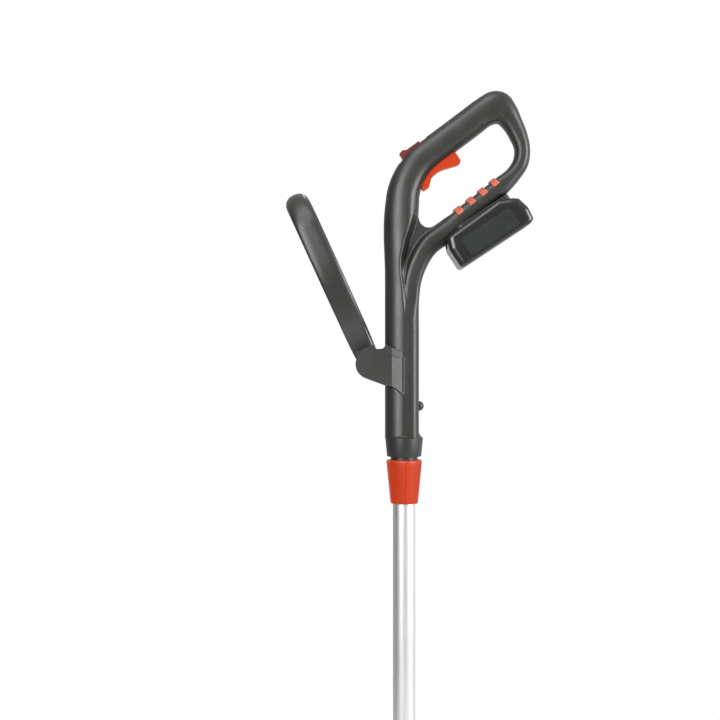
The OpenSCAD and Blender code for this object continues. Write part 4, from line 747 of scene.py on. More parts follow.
# Ends of the fine lines: a share of the loop's length, a height above the neck's foot and a place behind it
INNER_LINE_END, OUTER_LINE_RISE, OUTER_LINE_X = 0.72, 0.012, 0.075
# Rooms of the controls: gaps at their ends and sides, then how far the trigger's room goes out and in
ROOM_GAP, SIDE_GAP, TRIGGER_OUT, TRIGGER_IN = 0.0015, 0.001, 0.03, 0.0069
# Place of the pack as shares of the loop, plan of the dock's room in half sizes and the pack's front corner
PACK_SHARES = (0.02, -0.973)
DOCK_SHARES = ((-0.72, -0.5), (-0.52, -1.0), (0.8, -1.0), (0.8, 1.0), (-0.52, 1.0), (-0.72, 0.5))
PACK_CORNER = (-0.9, -0.28)
# Reach of cuts that pass right through, and of the halving cut
FAR, WIDE = 0.4, 1.5
# Soft pad: ends and taper as shares of the loop's length, half turn in degrees, least width and steps
PAD_SPAN, PAD_TAPER, PAD_TURN, PAD_LEAST, PAD_STEPS = (0.08, 0.86), 0.05, 46, 0.15, 28


def grip_origin(s):
    turn = math.pi / 2 - s.grip_slope
    x = s.upper_t / 2 - s.shaft_front + s.bend_r * (1 - math.cos(turn))
    return x, s.bend_h + s.bend_r * math.sin(turn)


def from_grip(s, x, z):
    at, (u, v) = grip_origin(s), turned(x, z, s.grip_slope)
    return at[0] + u, at[1] + v


def on_loop(s, along, across):
    """A place given by shares of the loop's length and height."""
    return from_grip(s, along * s.loop_len, across * s.loop_h)


def along_grip(s, knot):
    at = grip_origin(s)
    return turned(knot[0] - at[0], knot[1] - at[1], -s.grip_slope)[0]


def pole_frame(x=0.0, z=0.0, slope=0.0):
    return Matrix.Translation(POLE + Vector((x, 0.0, z))) @ Matrix.Rotation(-slope, 4, "Y")


def grip_frame(s):
    return pole_frame(*grip_origin(s), s.grip_slope)


def pack_frame(s, pack):
    along, across = PACK_SHARES
    at = from_grip(s, along * s.loop_len, across * s.loop_h - s.lower_bar_t / 2 - pack.drop)
    return pole_frame(*at, pack.slope)


def handle_stations(s, low):
    """Stations of the handle's one long curve: up the shaft's front half, round the loop, along the neck
    and down the shaft's rear half."""
    upper_x = s.upper_t / 2 - s.shaft_front
    rear_x = s.shaft_rear - s.rear_ridge_t / 2
    depth = DEPTH_SHARE * s.shaft_depth
    path = [(upper_x, z, s.upper_t / 2, depth, SHAFT_E, s.skew) for z in (low, s.straight_h)]
    for t in BEND_SHARES:
        a = t * (math.pi / 2 - s.grip_slope)
        path.append((upper_x + s.bend_r * (1 - math.cos(a)), s.bend_h + s.bend_r * math.sin(a),
                     mix(s.upper_t, s.grip_h, t) / 2, mix(2 * depth, s.grip_w, t) / 2,
                     mix(SHAFT_E, GRIP_E, t), SKEW_SHARE * s.skew * max(0.0, 1 - SKEW_FADE * t)))
    bars = {"grip": (s.grip_h, s.grip_w, GRIP_E), "rear": (s.rear_bar_t, s.rear_bar_w, GRIP_E),
            "lower": (s.lower_bar_t, s.lower_bar_w, LOWER_E)}
    for bar, along, across, height, width in LOOP_SHARES:
        thick, deep, e = bars[bar]
        path.append((*on_loop(s, along, across), height * thick, width * deep, e, 0.0))
    for t in NECK_SHARES:
        a, swell = (1 - t) * s.neck_turn, t * s.ridge_swell
        path.append((rear_x + s.neck_r * (1 - math.cos(a)) - swell * math.cos(a),
                     s.neck_h + (s.neck_r + swell) * math.sin(a),
                     mix(NECK_ENDS[0] * s.lower_bar_t, NECK_ENDS[1] * s.rear_ridge_t, t) + swell,
                     mix(s.lower_bar_w, s.rear_ridge_w, t) / 2 + s.neck_swell * math.sin(math.pi * t),
                     mix(LOWER_E, NECK_E, t), 0.0))
    for z in (*(mix(FOOT, s.neck_h, t) for t in REAR_SHARES), low):
        path.append((s.ridge_x, z, s.shaft_rear - s.ridge_x, s.ridge_w / 2, RIDGE_E, 0.0))
    return path


def front_end(scene, z):
    """Where the shaft's front half starts to fall at a height, the share of its depth behind the fall and the
    fall's width."""
    s, second, b = scene.trimmer_handle, scene.trimmer_second, scene.trimmer_bracket
    slope = (second.height - b.sag - z) / (b.low - b.sag)
    first, last = COVE_PLACES[0], COVE_PLACES[-1]
    if slope < 1.0 and z < second.height + b.ear_r / 2:
        return mix(b.facet_x, b.facet_end_x, max(0.0, slope)), first[2], first[3]
    for low, high in zip(COVE_PLACES, COVE_PLACES[1:]):
        if low[0] < z <= high[0]:
            t = (z - low[0]) / (high[0] - low[0])
            start, share, fall = (mix(u, v, t) for u, v in zip(low[1:], high[1:]))
            return s.crease_x + start, share, fall
    return s.crease_x + first[1], first[2] if z <= first[0] else last[2], first[3]


def shaft_ring(scene, knot, grow, steps):
    """A ring of the grip's part, whose front half ends at the crease."""
    start, share, fall = front_end(scene, knot[1])
    inner = HOLLOW_SHARE if grow < 0 and share < 1 else 1.0
    ring = []
    for v in rim(knot, grow, steps):
        t = min(1.0, max(0.0, (v.x - start) / fall))
        ring.append(Vector((v.x, v.y * inner * mix(1.0, share, t * t * (3 - 2 * t)), v.z)))
    return ring


def ridge_ring(scene, knot, grow, steps):
    """A ring of the neck's part, which stays below the front half ahead of the crease."""
    z, start, share, _ = COVE_PLACES[0]
    edge, low = scene.trimmer_handle.crease_x - start, knot[1] < z
    share *= HOLLOW_SHARE if grow < 0 else 1.0
    return [Vector((v.x, v.y * (share if low and v.x < edge else 1.0), v.z)) for v in rim(knot, grow, steps)]


def handle_arms(s, low, pitch):
    """Knots of the grip's part and of the neck's part, which meet at the loop's rearmost place."""
    knots = knots_through(handle_stations(s, low), pitch)
    turn = next(i for i, knot in enumerate(knots) if knot[2] < BACK_HEADING)
    return knots[:turn + 1], knots[turn:]


def web_outline(s):
    """Plate between the shaft and the lower bar, with the hand hole's round corner."""
    r, z = s.hole_r, s.hole_h
    x = s.upper_t - s.shaft_front + r
    front = s.upper_t / 2 - s.shaft_front
    corner = [(x + r * math.cos(a), z + r * math.sin(a))
              for a in (math.radians(CORNER_START + CORNER_TURN * i / CORNER_STEPS)
                        for i in range(CORNER_STEPS + 1))]
    return [(front, s.straight_h), (front, z)] + corner + [(x + u * r, z + v * r) for u, v in WEB_TAIL]


def screw_places(s):
    x = SCREW_INSET - s.shaft_front
    return ([(x, FOOT + SCREW_MARGIN), (x, s.straight_h - SCREW_MARGIN)]
            + [on_loop(s, along, across) for along, across in SCREW_SHARES])


def shell_solid(scene):
    """The handle's outer form in one even mesh: both sweeps and the web, melted together."""
    s = scene.trimmer_handle
    grip, neck = handle_arms(s, s.shell_foot - SHELL_RUN, SHELL_PITCH)
    obj = solid("shell_solid", pole_frame(), [shaft_ring(scene, knot, 0.0, SHAFT_STEPS) for knot in grip],
                [ridge_ring(scene, knot, 0.0, RIDGE_STEPS) for knot in neck],
                slab(web_outline(s), -s.web_w / 2, s.web_w / 2))
    melt = obj.modifiers.new("melt", "REMESH")
    melt.mode = "VOXEL"
    melt.voxel_size = VOXEL
    relax = obj.modifiers.new("relax", "SMOOTH")
    relax.factor = RELAX_FACTOR
    relax.iterations = RELAX_TIMES
    return baked(obj)


def groove(s, knots, side):
    """A thin wire along one side of a row of knots, beside its edge, for both faces of the loop."""
    wires = []
    for face in (1, -1):
        rings = []
        for knot in knots:
            share = 1 - s.groove_in / knot[4]
            turn = math.acos(share ** (knot[6] / 2))
            a = face * turn if side > 0 else math.pi - face * turn
            place = rim_point(knot, a, 0.0)
            out = (rim_point(knot, a, s.groove_r) - place).normalized()
            across = out.cross(Vector((knot[2], 0.0, knot[3])))
            rings.append([place + s.groove_r * (math.cos(w) * out + math.sin(w) * across)
                          for w in turns(WIRE_STEPS)])
        wires.append(rings)
    return solid("groove", pole_frame(), *wires)


def carve_grooves(obj, s):
    """Cuts the fine lines beside the hand hole and along the neck's rear side."""
    grip, neck = handle_arms(s, FOOT, TRIM_PITCH)
    end, foot = INNER_LINE_END * s.loop_len, s.neck_h + OUTER_LINE_RISE
    carve(obj, groove(s, [k for k in grip if k[1] > s.hole_h and along_grip(s, k) < end], -1))
    carve(obj, groove(s, [k for k in neck if foot < k[1] and k[0] < OUTER_LINE_X], 1))


def carve_shells(obj, scene):
    """Cuts the fine lines, the hollow, the tube's room, the foot, the openings of the controls, the rooms
    of the dock and the pack, and the seats of the screws and the stud."""
    s, pack = scene.trimmer_handle, scene.trimmer_pack
    pole, grip, dock = pole_frame(), grip_frame(s), pack_frame(s, pack)
    carve_grooves(obj, s)
    low = s.shell_foot - HOLLOW_RUN
    for knots, form in zip(handle_arms(s, low, HOLLOW_PITCH), (shaft_ring, ridge_ring)):
        carve(obj, solid("hollow", pole, [form(scene, knot, -s.wall, HOLLOW_STEPS) for knot in knots]))
    top = TUBE_BOX[1].z - POLE.z + s.tube_travel
    carve(obj, solid("tube room", pole, [circle(s.tube_room_r, z, BORE_STEPS) for z in (low, top)]))
    carve(obj, cutter(pole, (-FAR, -FAR, s.shell_foot - FAR), (FAR, FAR, s.shell_foot)))
    skin_z, width = -s.grip_h / 2, s.trigger_w / 2 + SIDE_GAP
    carve(obj, cutter(grip, (s.trigger_front - ROOM_GAP, -width, skin_z - TRIGGER_OUT),
                      (s.trigger_front + s.trigger_len + ROOM_GAP, width, skin_z + TRIGGER_IN)))
    carve(obj, cutter(grip, (s.lock_front - s.lock_travel - ROOM_GAP, -width, s.grip_h / 4),
                      (s.lock_front + s.lock_len + ROOM_GAP, width, s.grip_h)))
    x, y = pack.size[0] / 2, pack.dock_w / 2
    carve(obj, solid("dock room", dock, tower([(u * x, v * y) for u, v in DOCK_SHARES], -FAR, pack.dock_h)))
    front, roof = -x - ROOM_GAP, ROOM_GAP / 3
    outline = [(front, -FAR), (FAR, -FAR), (FAR, roof), (PACK_CORNER[0] * x - ROOM_GAP, roof),
               (front, PACK_CORNER[1] * pack.size[2])]
    carve(obj, solid("pack room", dock, slab(outline, -FAR, FAR)))
    seats = [slab(disc(u, v, SEAT_R), SEAT_Y, FAR) for u, v in screw_places(s)]
    carve(obj, solid("screw seats", pole, *seats))
    ring = disc(0.0, s.stud_h, STUD_SEAT_R)
    seat = [[Vector((back, u, v)) for u, v in ring] for back in (s.shaft_rear - STUD_SINK, FAR)]
    carve(obj, solid("stud seat", pole, seat))


class TRIMMER_OT_handle_shells(Operator):
    """Builds the two moulded halves of the handle"""

    bl_idname = "trimmer.handle_shells"
    bl_label = "Handle Shells"
    bl_options = {"REGISTER", "UNDO"}

    def execute(self, context):
        whole = shell_solid(context.scene)
        carve_shells(whole, context.scene)
        half = context.scene.trimmer_handle.seam / 2
        for name, low, high in (("left", -WIDE, -half), ("right", half, WIDE)):
            shell = whole.copy()
            shell.data = whole.data.copy()
            shell.name = f"shell_{name}"
            context.scene.collection.objects.link(shell)
            carve(shell, cutter(pole_frame(), (-WIDE, low, -WIDE), (WIDE, high, WIDE)), "INTERSECT")
            smooth(shell, sharp=38.0)
            piece(shell, "handle", "shell_plastic", "shell_plastic", f"{name}_shell")
        drop(whole)
        return {"FINISHED"}


class TRIMMER_OT_grip_trim(Operator):
    """Builds the soft pad and finishes the ribs, the trigger and the lock button"""

    bl_idname = "trimmer.grip_trim"
    bl_label = "Grip Trim"
    bl_options = {"REGISTER", "UNDO"}

    def execute(self, context):
        s = context.scene.trimmer_handle
        first, last = PAD_SPAN
        rings = []
        for knot in handle_arms(s, FOOT, TRIM_PITCH)[0]:
            along = along_grip(s, knot) / s.loop_len
            if first < along < last and knot[2] > GRIP_HEADING:
                end = min(1.0, (along - first) / PAD_TAPER, (last - along) / PAD_TAPER)
                reach = math.radians(PAD_TURN) * math.sqrt(max(PAD_LEAST, end))
                rings.append(patch(knot, s.pad_t, 0.0, reach, PAD_STEPS))
        pad = solid("soft_pad", pole_frame(), rings)
        smooth(pad, sharp=50.0)
        piece(pad, "handle", "soft_grip", "soft_grip", "grip_pad")
        dress("grip")
        return {"FINISHED"}


# Second handle

CORNER_SHARES = tuple(i / 6 for i in range(7))
# Squareness of the arms and of the cross bar, then start and length of the change as shares of the length
ARM_E, BAR_E, BAR_START, BAR_BLEND = 3.4, 2.3, 0.72, 0.2
# Arms: shares of the way out and of the length, the corner's share of the way out, shares of the width
ARM_OUT, ARM_UP, CORNER_SHARE = (0.1, 0.6), (0.27, 0.46), 0.78
ARM_WIDTHS = (0.45, 0.475, 0.49, 0.495, 0.5)
SECOND_PITCH, CORE_STEPS, BACK_STEPS, PANEL_STEPS = 0.003, 56, 20, 24
# Angles of the parting line in degrees, and half of its gap in radians
SEAM_TURNS, SEAM_GAP = (45, 135), 0.06
# Side panels: ends and tapers as shares of the length, half turn in degrees and least width
PANEL_SPAN, PANEL_TAPERS, PANEL_TURN, PANEL_LEAST = (0.2, 0.922), (0.05, 0.03), 58, 0.02
# Bracket: steps of its arcs, rear end of its top as shares of the ear and the facet, and reach of its cuts
EAR_STEPS, FILLET_STEPS, HUB_STEPS, TOP_SHARES = 28, 8, 48, (0.7, 0.85)
BRACKET_FAR, ROOM_LAP = 0.1, 0.001
# Corners of the lip: shares of the facet's start and of the ear's radius, then a radius
LIP_SHARES = ((1.5, 1.0, 0.002), (0.8, 1.0, 0.004), (0.05, 0.72, 0.004), (0.0, 0.5, 0.0016),
              (0.4, 0.4, 0.006), (1.5, 0.72, 0.003))


def second_frame(s):
    return pole_frame(-s.reach, s.height, s.tilt) @ Matrix.Rotation(-math.pi / 2, 4, "Z")


def second_e(s, z):
    """Squarer section on the arms, rounder on the cross bar."""
    return mix(ARM_E, BAR_E, min(1.0, max(0.0, (z - BAR_START * s.len) / (BAR_BLEND * s.len))))


def second_knots(s, pitch):
    """Knots of the second handle's loop in its own plane, from one root to the other."""
    arm_y = (s.span - s.arm_t) / 2
    bar_z = s.len - s.width / 2
    corner = CORNER_SHARE * arm_y
    widths = [share * s.width for share in ARM_WIDTHS]
    half = [(s.root_y, s.rise - s.root_in, s.root_t / 2, widths[0]),
            (s.root_y, s.rise, s.root_t / 2, widths[1]),
            (mix(s.root_y, arm_y, ARM_OUT[0]), s.rise + s.root_t, s.root_t / 2, widths[2]),
            (mix(s.root_y, arm_y, ARM_OUT[1]), ARM_UP[0] * s.len, s.arm_t / 2, widths[3]),
            (arm_y, ARM_UP[1] * s.len, s.arm_t / 2, widths[4])]
    for t in CORNER_SHARES:
        a = t * math.pi / 2
        half.append((arm_y - corner * (1 - math.cos(a)), bar_z - corner * (1 - math.sin(a)),
                     mix(s.arm_t, s.width, t * t) / 2, s.width / 2))
    half = [(*station, second_e(s, station[1])) for station in half]
    whole = half + [(0.0, bar_z, s.width / 2, s.width / 2, second_e(s, bar_z))]
    return knots_through(whole + [(-x, *rest) for x, *rest in reversed(half)], pitch)


def panel_rings(s, knots, side):
    """Rings of the thin panel on the outer side of one arm."""
    first, last = PANEL_SPAN
    rings = []
    for knot in knots:
        along = knot[1] / s.len
        if side * knot[0] > 0 and first < along < last:
            end = min(1.0, (along - first) / PANEL_TAPERS[0], (last - along) / PANEL_TAPERS[1])
            reach = math.radians(PANEL_TURN) * math.sqrt(max(PANEL_LEAST, 1 - (1 - end) ** 2))
            rings.append(patch(knot, s.panel_t, math.pi, reach, PANEL_STEPS))
    return rings


def bracket_outline(s, b):
    """Side of the bracket: a round ear, a lower edge tangent to it and the foot on the shaft."""
    x, z = -s.reach, s.height
    foot = Vector((b.sag + x - b.heel, z - b.sag))
    away = Vector((x, z)) - foot
    a = math.atan2(away.y, away.x) + math.asin(b.ear_r / away.length)
    touch = foot + math.sqrt(away.length_squared - b.ear_r ** 2) * Vector((math.cos(a), math.sin(a)))
    last = math.atan2(touch.y - z, touch.x - x) % math.tau
    ear = [(x + b.ear_r * math.cos(w), z + b.ear_r * math.sin(w))
           for w in (mix(math.pi / 2, last, i / EAR_STEPS) for i in range(EAR_STEPS + 1))]
    fillet = [(b.shaft_x - b.fillet_r * (1 - math.cos(w)), z + b.ear_r + b.fillet_r * (1 - math.sin(w)))
              for w in (math.pi / 2 * i / FILLET_STEPS for i in range(FILLET_STEPS + 1))]
    rear = [tuple(foot), (b.facet_x, z - b.sag), (b.facet_end_x, z - b.low),
            (b.facet_end_x, z + TOP_SHARES[0] * b.ear_r), (TOP_SHARES[1] * b.facet_x, z + b.ear_r)]
    return ear + rear + fillet


def bracket_plan(s, b, grow):
    """Plan of the bracket, with a facet that falls to the shaft behind each ear."""
    front, side, end = -s.reach - b.ear_r - grow, b.ear_y + grow, b.facet_end_y + grow
    half = [(front, side), (b.facet_x, side), (b.facet_end_x + grow, end)]
    plan = half + [(x, -y) for x, y in reversed(half)]
    return solid("plan", pole_frame(), tower(plan, s.height - BRACKET_FAR, s.height + BRACKET_FAR))


def bracket_solid(s, b):
    """The bracket's body and the lip over its facet, with the rooms for the hub and the bar."""
    pole, z, far = pole_frame(), s.height, BRACKET_FAR
    obj = solid("bracket_body", pole, slab(bracket_outline(s, b), -b.ear_y, b.ear_y))
    carve(obj, bracket_plan(s, b, 0.0), "INTERSECT")
    outline = rounded([(u * b.facet_x, z + v * b.ear_r, r) for u, v, r in LIP_SHARES])
    lip = solid("bracket_lip", pole, slab(outline, -b.ear_y - far, b.ear_y + far))
    carve(lip, bracket_plan(s, b, b.lip), "INTERSECT")
    carve(obj, lip, "UNION")
    carve(obj, solid("hub room", pole, slab(disc(-s.reach, z, b.hub_r, HUB_STEPS), -b.ear_gap, b.ear_gap)))
    for reach, low, high in ((b.hub_r / 2, z, z + far), (s.width / 2, z - far, z + ROOM_LAP)):
        carve(obj, cutter(pole, (-s.reach - far, -b.ear_gap, low), (reach - s.reach, b.ear_gap, high)))
    return obj


class TRIMMER_OT_second_handle(Operator):
    """Builds the second handle's loop, rear cover, panels and bracket, and finishes the hub and the knob"""

    bl_idname = "trimmer.second_handle"
    bl_label = "Second Handle"
    bl_options = {"REGISTER", "UNDO"}

    def execute(self, context):
        s, b = context.scene.trimmer_second, context.scene.trimmer_bracket
        place = second_frame(s)
        knots = second_knots(s, SECOND_PITCH)
        low, high = (math.radians(turn) for turn in SEAM_TURNS)
        core, back = (high + SEAM_GAP, low + math.tau - SEAM_GAP), (low + SEAM_GAP, high - SEAM_GAP)
        for name, node, finish_name, span, steps in (
                ("second_core", "second_loop", "black_plastic", core, CORE_STEPS),
                ("second_back", "second_cover", "shell_plastic", back, BACK_STEPS)):
            part = solid(name, place, [arc(knot, 0.0, *span, steps) for knot in knots])
            soften(part, width=0.0006, sharp=50.0, segments=2)
            piece(part, "second_handle", finish_name, finish_name, node)
        panels = solid("second_panels", place, *(panel_rings(s, knots, side) for side in (1, -1)))
        soften(panels, width=0.0004, sharp=50.0, segments=2)
        piece(panels, "second_handle", "shell_plastic", "shell_plastic", "second_inlays")
        bracket = bracket_solid(s, b)
        soften(bracket, width=0.0008, sharp=18.0)
        piece(bracket, "handle", "shell_plastic", "shell_plastic", "second_bracket")
        dress("second")
        return {"FINISHED"}


# Battery

# Corners of the case seen from the side: shares of half the length and of the height, then a radius share
CASE_SHARES = ((-0.88, 0.0, 0.1), (-1.0, -0.27, 0.1), (-1.0, -1.0, 0.12), (0.84, -1.0, 0.12),
               (0.965, -0.93, 0.1), (1.0, -0.52, 0.3), (0.92, -0.11, 0.1), (0.84, 0.0, 0.1))
CHEEK_SHARES = ((-1.0, -0.28, 0.1), (-0.9, 0.088, 0.08), (0.52, 0.185, 0.08), (0.6, 0.137, 0.1),
                (0.81, 0.0, 0.12), (0.932, -0.12, 0.12), (1.0, -0.52, 0.3), (0.965, -0.925, 0.1),
                (0.845, -1.0, 0.12), (-1.0, -1.0, 0.12))
CHEEK_INSET, CHEEK_STEPS, CASE_LAP = (0.011, 0.0055), 12, 0.0002
# Rail: start as a share of its length, half width of its neck, then the neck's foot and the head's start
RAIL_START, RAIL_NECK, RAIL_FOOT, RAIL_HEAD = -0.39, 0.41, -0.001, 0.43
# Latch's room: start as a share of half the length, half width, low and high
LATCH_ROOM = (0.781, 0.0143, -0.0151, -0.005)
SLOT_PLACES, SLOT_HALF, SLOT_FLOOR, SLOT_END = (-0.009, 0.0, 0.009), 0.0008, 0.0021, -0.041
# Bare fields: corners as shares of half the length and of the height, their radius, height and sink
FIELD_SHARES = ((-0.66, -0.84), (0.64, -0.84), (0.64, -0.2), (-0.66, -0.2))
FIELD_R, FIELD_OUT, FIELD_IN = 0.004, 0.0003, 0.001


def case_outline(pack, shares):
    x, z = pack.size[0] / 2, pack.size[2]
    return rounded([(u * x, v * z, r * z) for u, v, r in shares])


def cheek_rings(pack, side):
    """Rings of one side of the case, from its inner face to the flat of its outer face."""
    outline = case_outline(pack, CHEEK_SHARES)
    x, y, middle = pack.size[0] / 2, pack.size[1] / 2, -pack.size[2] / 2
    rings = [[Vector((u, side * pack.cheek_in, v)) for u, v in outline]]
    for i in range(CHEEK_STEPS + 1):
        a = math.pi / 2 * i / CHEEK_STEPS
        du, dv = (cut * (1 - math.cos(a)) for cut in CHEEK_INSET)
        place = side * (y - pack.cheek_round * (1 - math.sin(a)))
        rings.append([Vector((u * (1 - du / x), place, middle + (v - middle) * (1 + dv / middle)))
                      for u, v in outline])
    return rings


def pack_case(pack, place):
    """The battery's case: a middle with its rail, two rounded cheeks, the latch's room and contact slots."""
    x, half_y = pack.size[0] / 2, pack.cheek_in + CASE_LAP
    length, width, height = pack.rail_size
    case = solid("pack_case", place, slab(case_outline(pack, CASE_SHARES), -half_y, half_y))
    for side in (1, -1):
        carve(case, solid("cheek", place, cheek_rings(pack, side)), "UNION")
    start = RAIL_START * length
    neck, head = (RAIL_NECK * width, RAIL_FOOT, height / 2), (width / 2, RAIL_HEAD * height, height)
    for half, low, high in (neck, head):
        carve(case, cutter(place, (start, -half, low), (start + length, half, high)), "UNION")
    share, half, low, high = LATCH_ROOM
    carve(case, cutter(place, (share * x, -half, low), (2 * x, half, high)))
    for y in SLOT_PLACES:
        carve(case, cutter(place, (-2 * x, y - SLOT_HALF, SLOT_FLOOR),
                           (SLOT_END * x, y + SLOT_HALF, 2 * height)))
    return case


class TRIMMER_OT_battery(Operator):
    """Builds the battery's case and its bare fields, and finishes its dock and its inner pieces"""

    bl_idname = "trimmer.battery"
    bl_label = "Battery"
    bl_options = {"REGISTER", "UNDO"}

    def execute(self, context):
        pack = context.scene.trimmer_pack
        place = pack_frame(context.scene.trimmer_handle, pack)
        case = pack_case(pack, place)
        smooth(case, sharp=32.0)
        piece(case, "battery", "black_plastic", "pack_plastic", "pack_tray", "pack_cover")
        x, y, z = pack.size[0] / 2, pack.size[1] / 2, pack.size[2]
        field = rounded([(u * x, v * z, FIELD_R) for u, v in FIELD_SHARES])
        fields = solid("pack_fields", place, slab(field, -y - FIELD_OUT, -y + FIELD_IN),
                       slab(field, y - FIELD_IN, y + FIELD_OUT))
        soften(fields, width=0.0002, segments=2)
        piece(fields, "battery", "shell_plastic", "label_field", "pack_panels")
        dress("battery")
        return {"FINISHED"}


# Twist clamp and pole

# Angles in degrees over which the collar's ridges are rounded
RIDGE_BLUR = (-2.0, -1.0, 0.0, 1.0, 2.0)
COLLAR_STEPS, COLLAR_RINGS, COLLAR_EDGE, EDGE_STEPS = 288, 16, 0.0026, 6
# Inside of the clamp: radii of the bore, of its step, of the wedge's seat and of the nose, then two heights
BORE_R, STEP_R, WEDGE_R, NOSE_R = 0.0154, 0.0167, 0.0179, 0.0184
STEP_Z, THROAT_Z = 0.006, 0.029
# Ferrule: play on the nose, rounding at its foot and its top, then the neck's inset, rise, end and curve
FERRULE_STEPS, NOSE_PLAY, FOOT_EDGE, EDGE_BEAD, TOP_EDGE, TOP_LIP = 160, 0.0004, 0.001, 0.0003, 0.0012, 0.0002
FLARE_IN, FLARE_RISE, FLARE_END, FLARE_POWER, FLARE_STEPS = 0.0007, 0.0095, 0.0098, 2.4, 8


def collar_radius(c, r, a):
    """Radius at an angle: slack faces between rounded ridges."""
    pitch, total = math.tau / c.faces, 0.0
    for blur in RIDGE_BLUR:
        off = (a + math.radians(blur) - c.ridge_turn + math.pi / 2) % pitch - pitch / 2
        centre = r - c.face_cut - c.face_r
        total += min(r, centre * math.cos(off) + math.sqrt(c.face_r ** 2 - (centre * math.sin(off)) ** 2))
    ridge = pitch / 2 - abs((a - c.ridge_turn + math.pi / 2) % pitch - pitch / 2)
    return total / len(RIDGE_BLUR) - c.line_cut * max(0.0, 1 - ridge / c.line_turn)


def collar_rings(c):
    """Rings of the collar, up its fluted outside and down its bore."""
    edge = [(COLLAR_EDGE - COLLAR_EDGE * math.sin(t), COLLAR_EDGE - COLLAR_EDGE * math.cos(t))
            for t in (math.radians(90 * i / EDGE_STEPS) for i in range(EDGE_STEPS, -1, -1))]
    heights = (edge + [(c.height * k / COLLAR_RINGS, 0.0) for k in range(2, COLLAR_RINGS - 1)]
               + [(c.height - z, cut) for z, cut in reversed(edge)])
    rings = []
    for z, cut in heights:
        base = mix(c.foot_r, c.top_r, z / c.height)
        ring = [(a, collar_radius(c, base, a) - cut) for a in turns(COLLAR_STEPS)]
        rings.append([Vector((math.cos(a) * r, math.sin(a) * r, z)) for a, r in ring])
    inner = [(c.height, NOSE_R), (THROAT_Z, NOSE_R), (THROAT_Z, WEDGE_R), (STEP_Z, STEP_R), (STEP_Z, BORE_R),
             (0.0, BORE_R)]
    return rings + [circle(r, z, COLLAR_STEPS) for z, r in inner]


def ferrule_rings(c, s):
    """Rings of the ferrule, up its flared outside to the neck in the shells and down its bore."""
    foot, top, low_r, high_r = c.ferrule_z, s.shell_foot, c.ferrule_foot_r, c.ferrule_r
    profile = [(NOSE_R - NOSE_PLAY, THROAT_Z), (NOSE_R - NOSE_PLAY, foot), (low_r - FOOT_EDGE, foot),
               (low_r - EDGE_BEAD, foot + EDGE_BEAD), (low_r, foot + FOOT_EDGE),
               (mix(low_r, high_r, 0.5), mix(foot, top, 0.5)), (high_r, top - TOP_EDGE),
               (high_r, top - EDGE_BEAD), (high_r - 2 * TOP_LIP, top + TOP_LIP)]
    for k in range(FLARE_STEPS + 1):
        t = k / FLARE_STEPS
        profile.append((mix(s.shaft_rear, high_r - FLARE_IN, (1 - t) ** FLARE_POWER),
                        top + EDGE_BEAD + FLARE_RISE * t))
    profile += [(BORE_R, top + FLARE_END), (BORE_R, THROAT_Z)]
    return [circle(r, z, FERRULE_STEPS) for r, z in profile]


class TRIMMER_OT_twist_clamp(Operator):
    """Builds the fluted twist collar and the ferrule, and finishes the tube, its guides and the stud"""

    bl_idname = "trimmer.twist_clamp"
    bl_label = "Twist Clamp"
    bl_options = {"REGISTER", "UNDO"}

    def execute(self, context):
        c, s = context.scene.trimmer_clamp, context.scene.trimmer_handle
        collar = solid("fluted_collar", pole_frame(), collar_rings(c), looped=True)
        smooth(collar, sharp=30.0)
        piece(collar, "collar", "orange_plastic", "orange_plastic", "twist_collar")
        ferrule = solid("flared_ferrule", pole_frame(), ferrule_rings(c, s), looped=True)
        smooth(ferrule, sharp=35.0)
        piece(ferrule, "handle", "shell_plastic", "shell_plastic", "ferrule")
        dress("clamp")
        return {"FINISHED"}


# Cutting head and inner pieces


class TRIMMER_OT_cutting_head(Operator):
    """Finishes the tilting socket, the motor housing, the cutter and the guards"""

    bl_idname = "trimmer.cutting_head"
    bl_label = "Cutting Head"
    bl_options = {"REGISTER", "UNDO"}

    def execute(self, context):
        dress("head")
        return {"FINISHED"}


class TRIMMER_OT_inner_pieces(Operator):
    """Finishes the switch, the board, the leads and the springs inside the handle"""

    bl_idname = "trimmer.inner_pieces"
    bl_label = "Inner Pieces"
    bl_options = {"REGISTER", "UNDO"}

    def execute(self, context):
        dress("inner")
        return {"FINISHED"}


# Stage

# Tall lamps: size, distance, rise, height of their target and turns in degrees; then the lamp overhead
LAMP_SIZE, LAMP_AWAY, LAMP_RISE, LAMP_AIM, FRONT_TURN, KEY_TURN = (0.85, 1.4), 2.0, 0.35, 0.75, -30.0, 62.0
TOP_SIZE, TOP_AT, TOP_AIM = (1.2, 1.2), (-0.5, -0.9, 2.3), 0.8
# Room in reflections: lighter to one side, lighter up and down, and its middle level
ROOM_SIDE, ROOM_RISE, ROOM_LEVEL = (0.325, 0.175, 0.0), 0.3, 0.5
WHITE = (1.0, 1.0, 1.0, 1.0)
FLOOR_FADE, FLOOR_PATCHES, FLOOR_TONES, FLOOR_ROUGH, FLOOR_GLOW = 0.3, 3.0, (0.86, 0.9), 0.8, 0.6
FLOOR_STEPS, FLOOR_DROP = 96, 0.0005


def lamp(name, power, size, place, target):
    light = bpy.data.lights.new(name, "AREA")
    light.shape = "RECTANGLE"
    light.energy = power
    light.size, light.size_y = size
    obj = bpy.data.objects.new(name, light)
    obj.location = place
    obj.rotation_euler = (Vector(target) - Vector(place)).to_track_quat("-Z", "Y").to_euler()
    bpy.context.scene.collection.objects.link(obj)


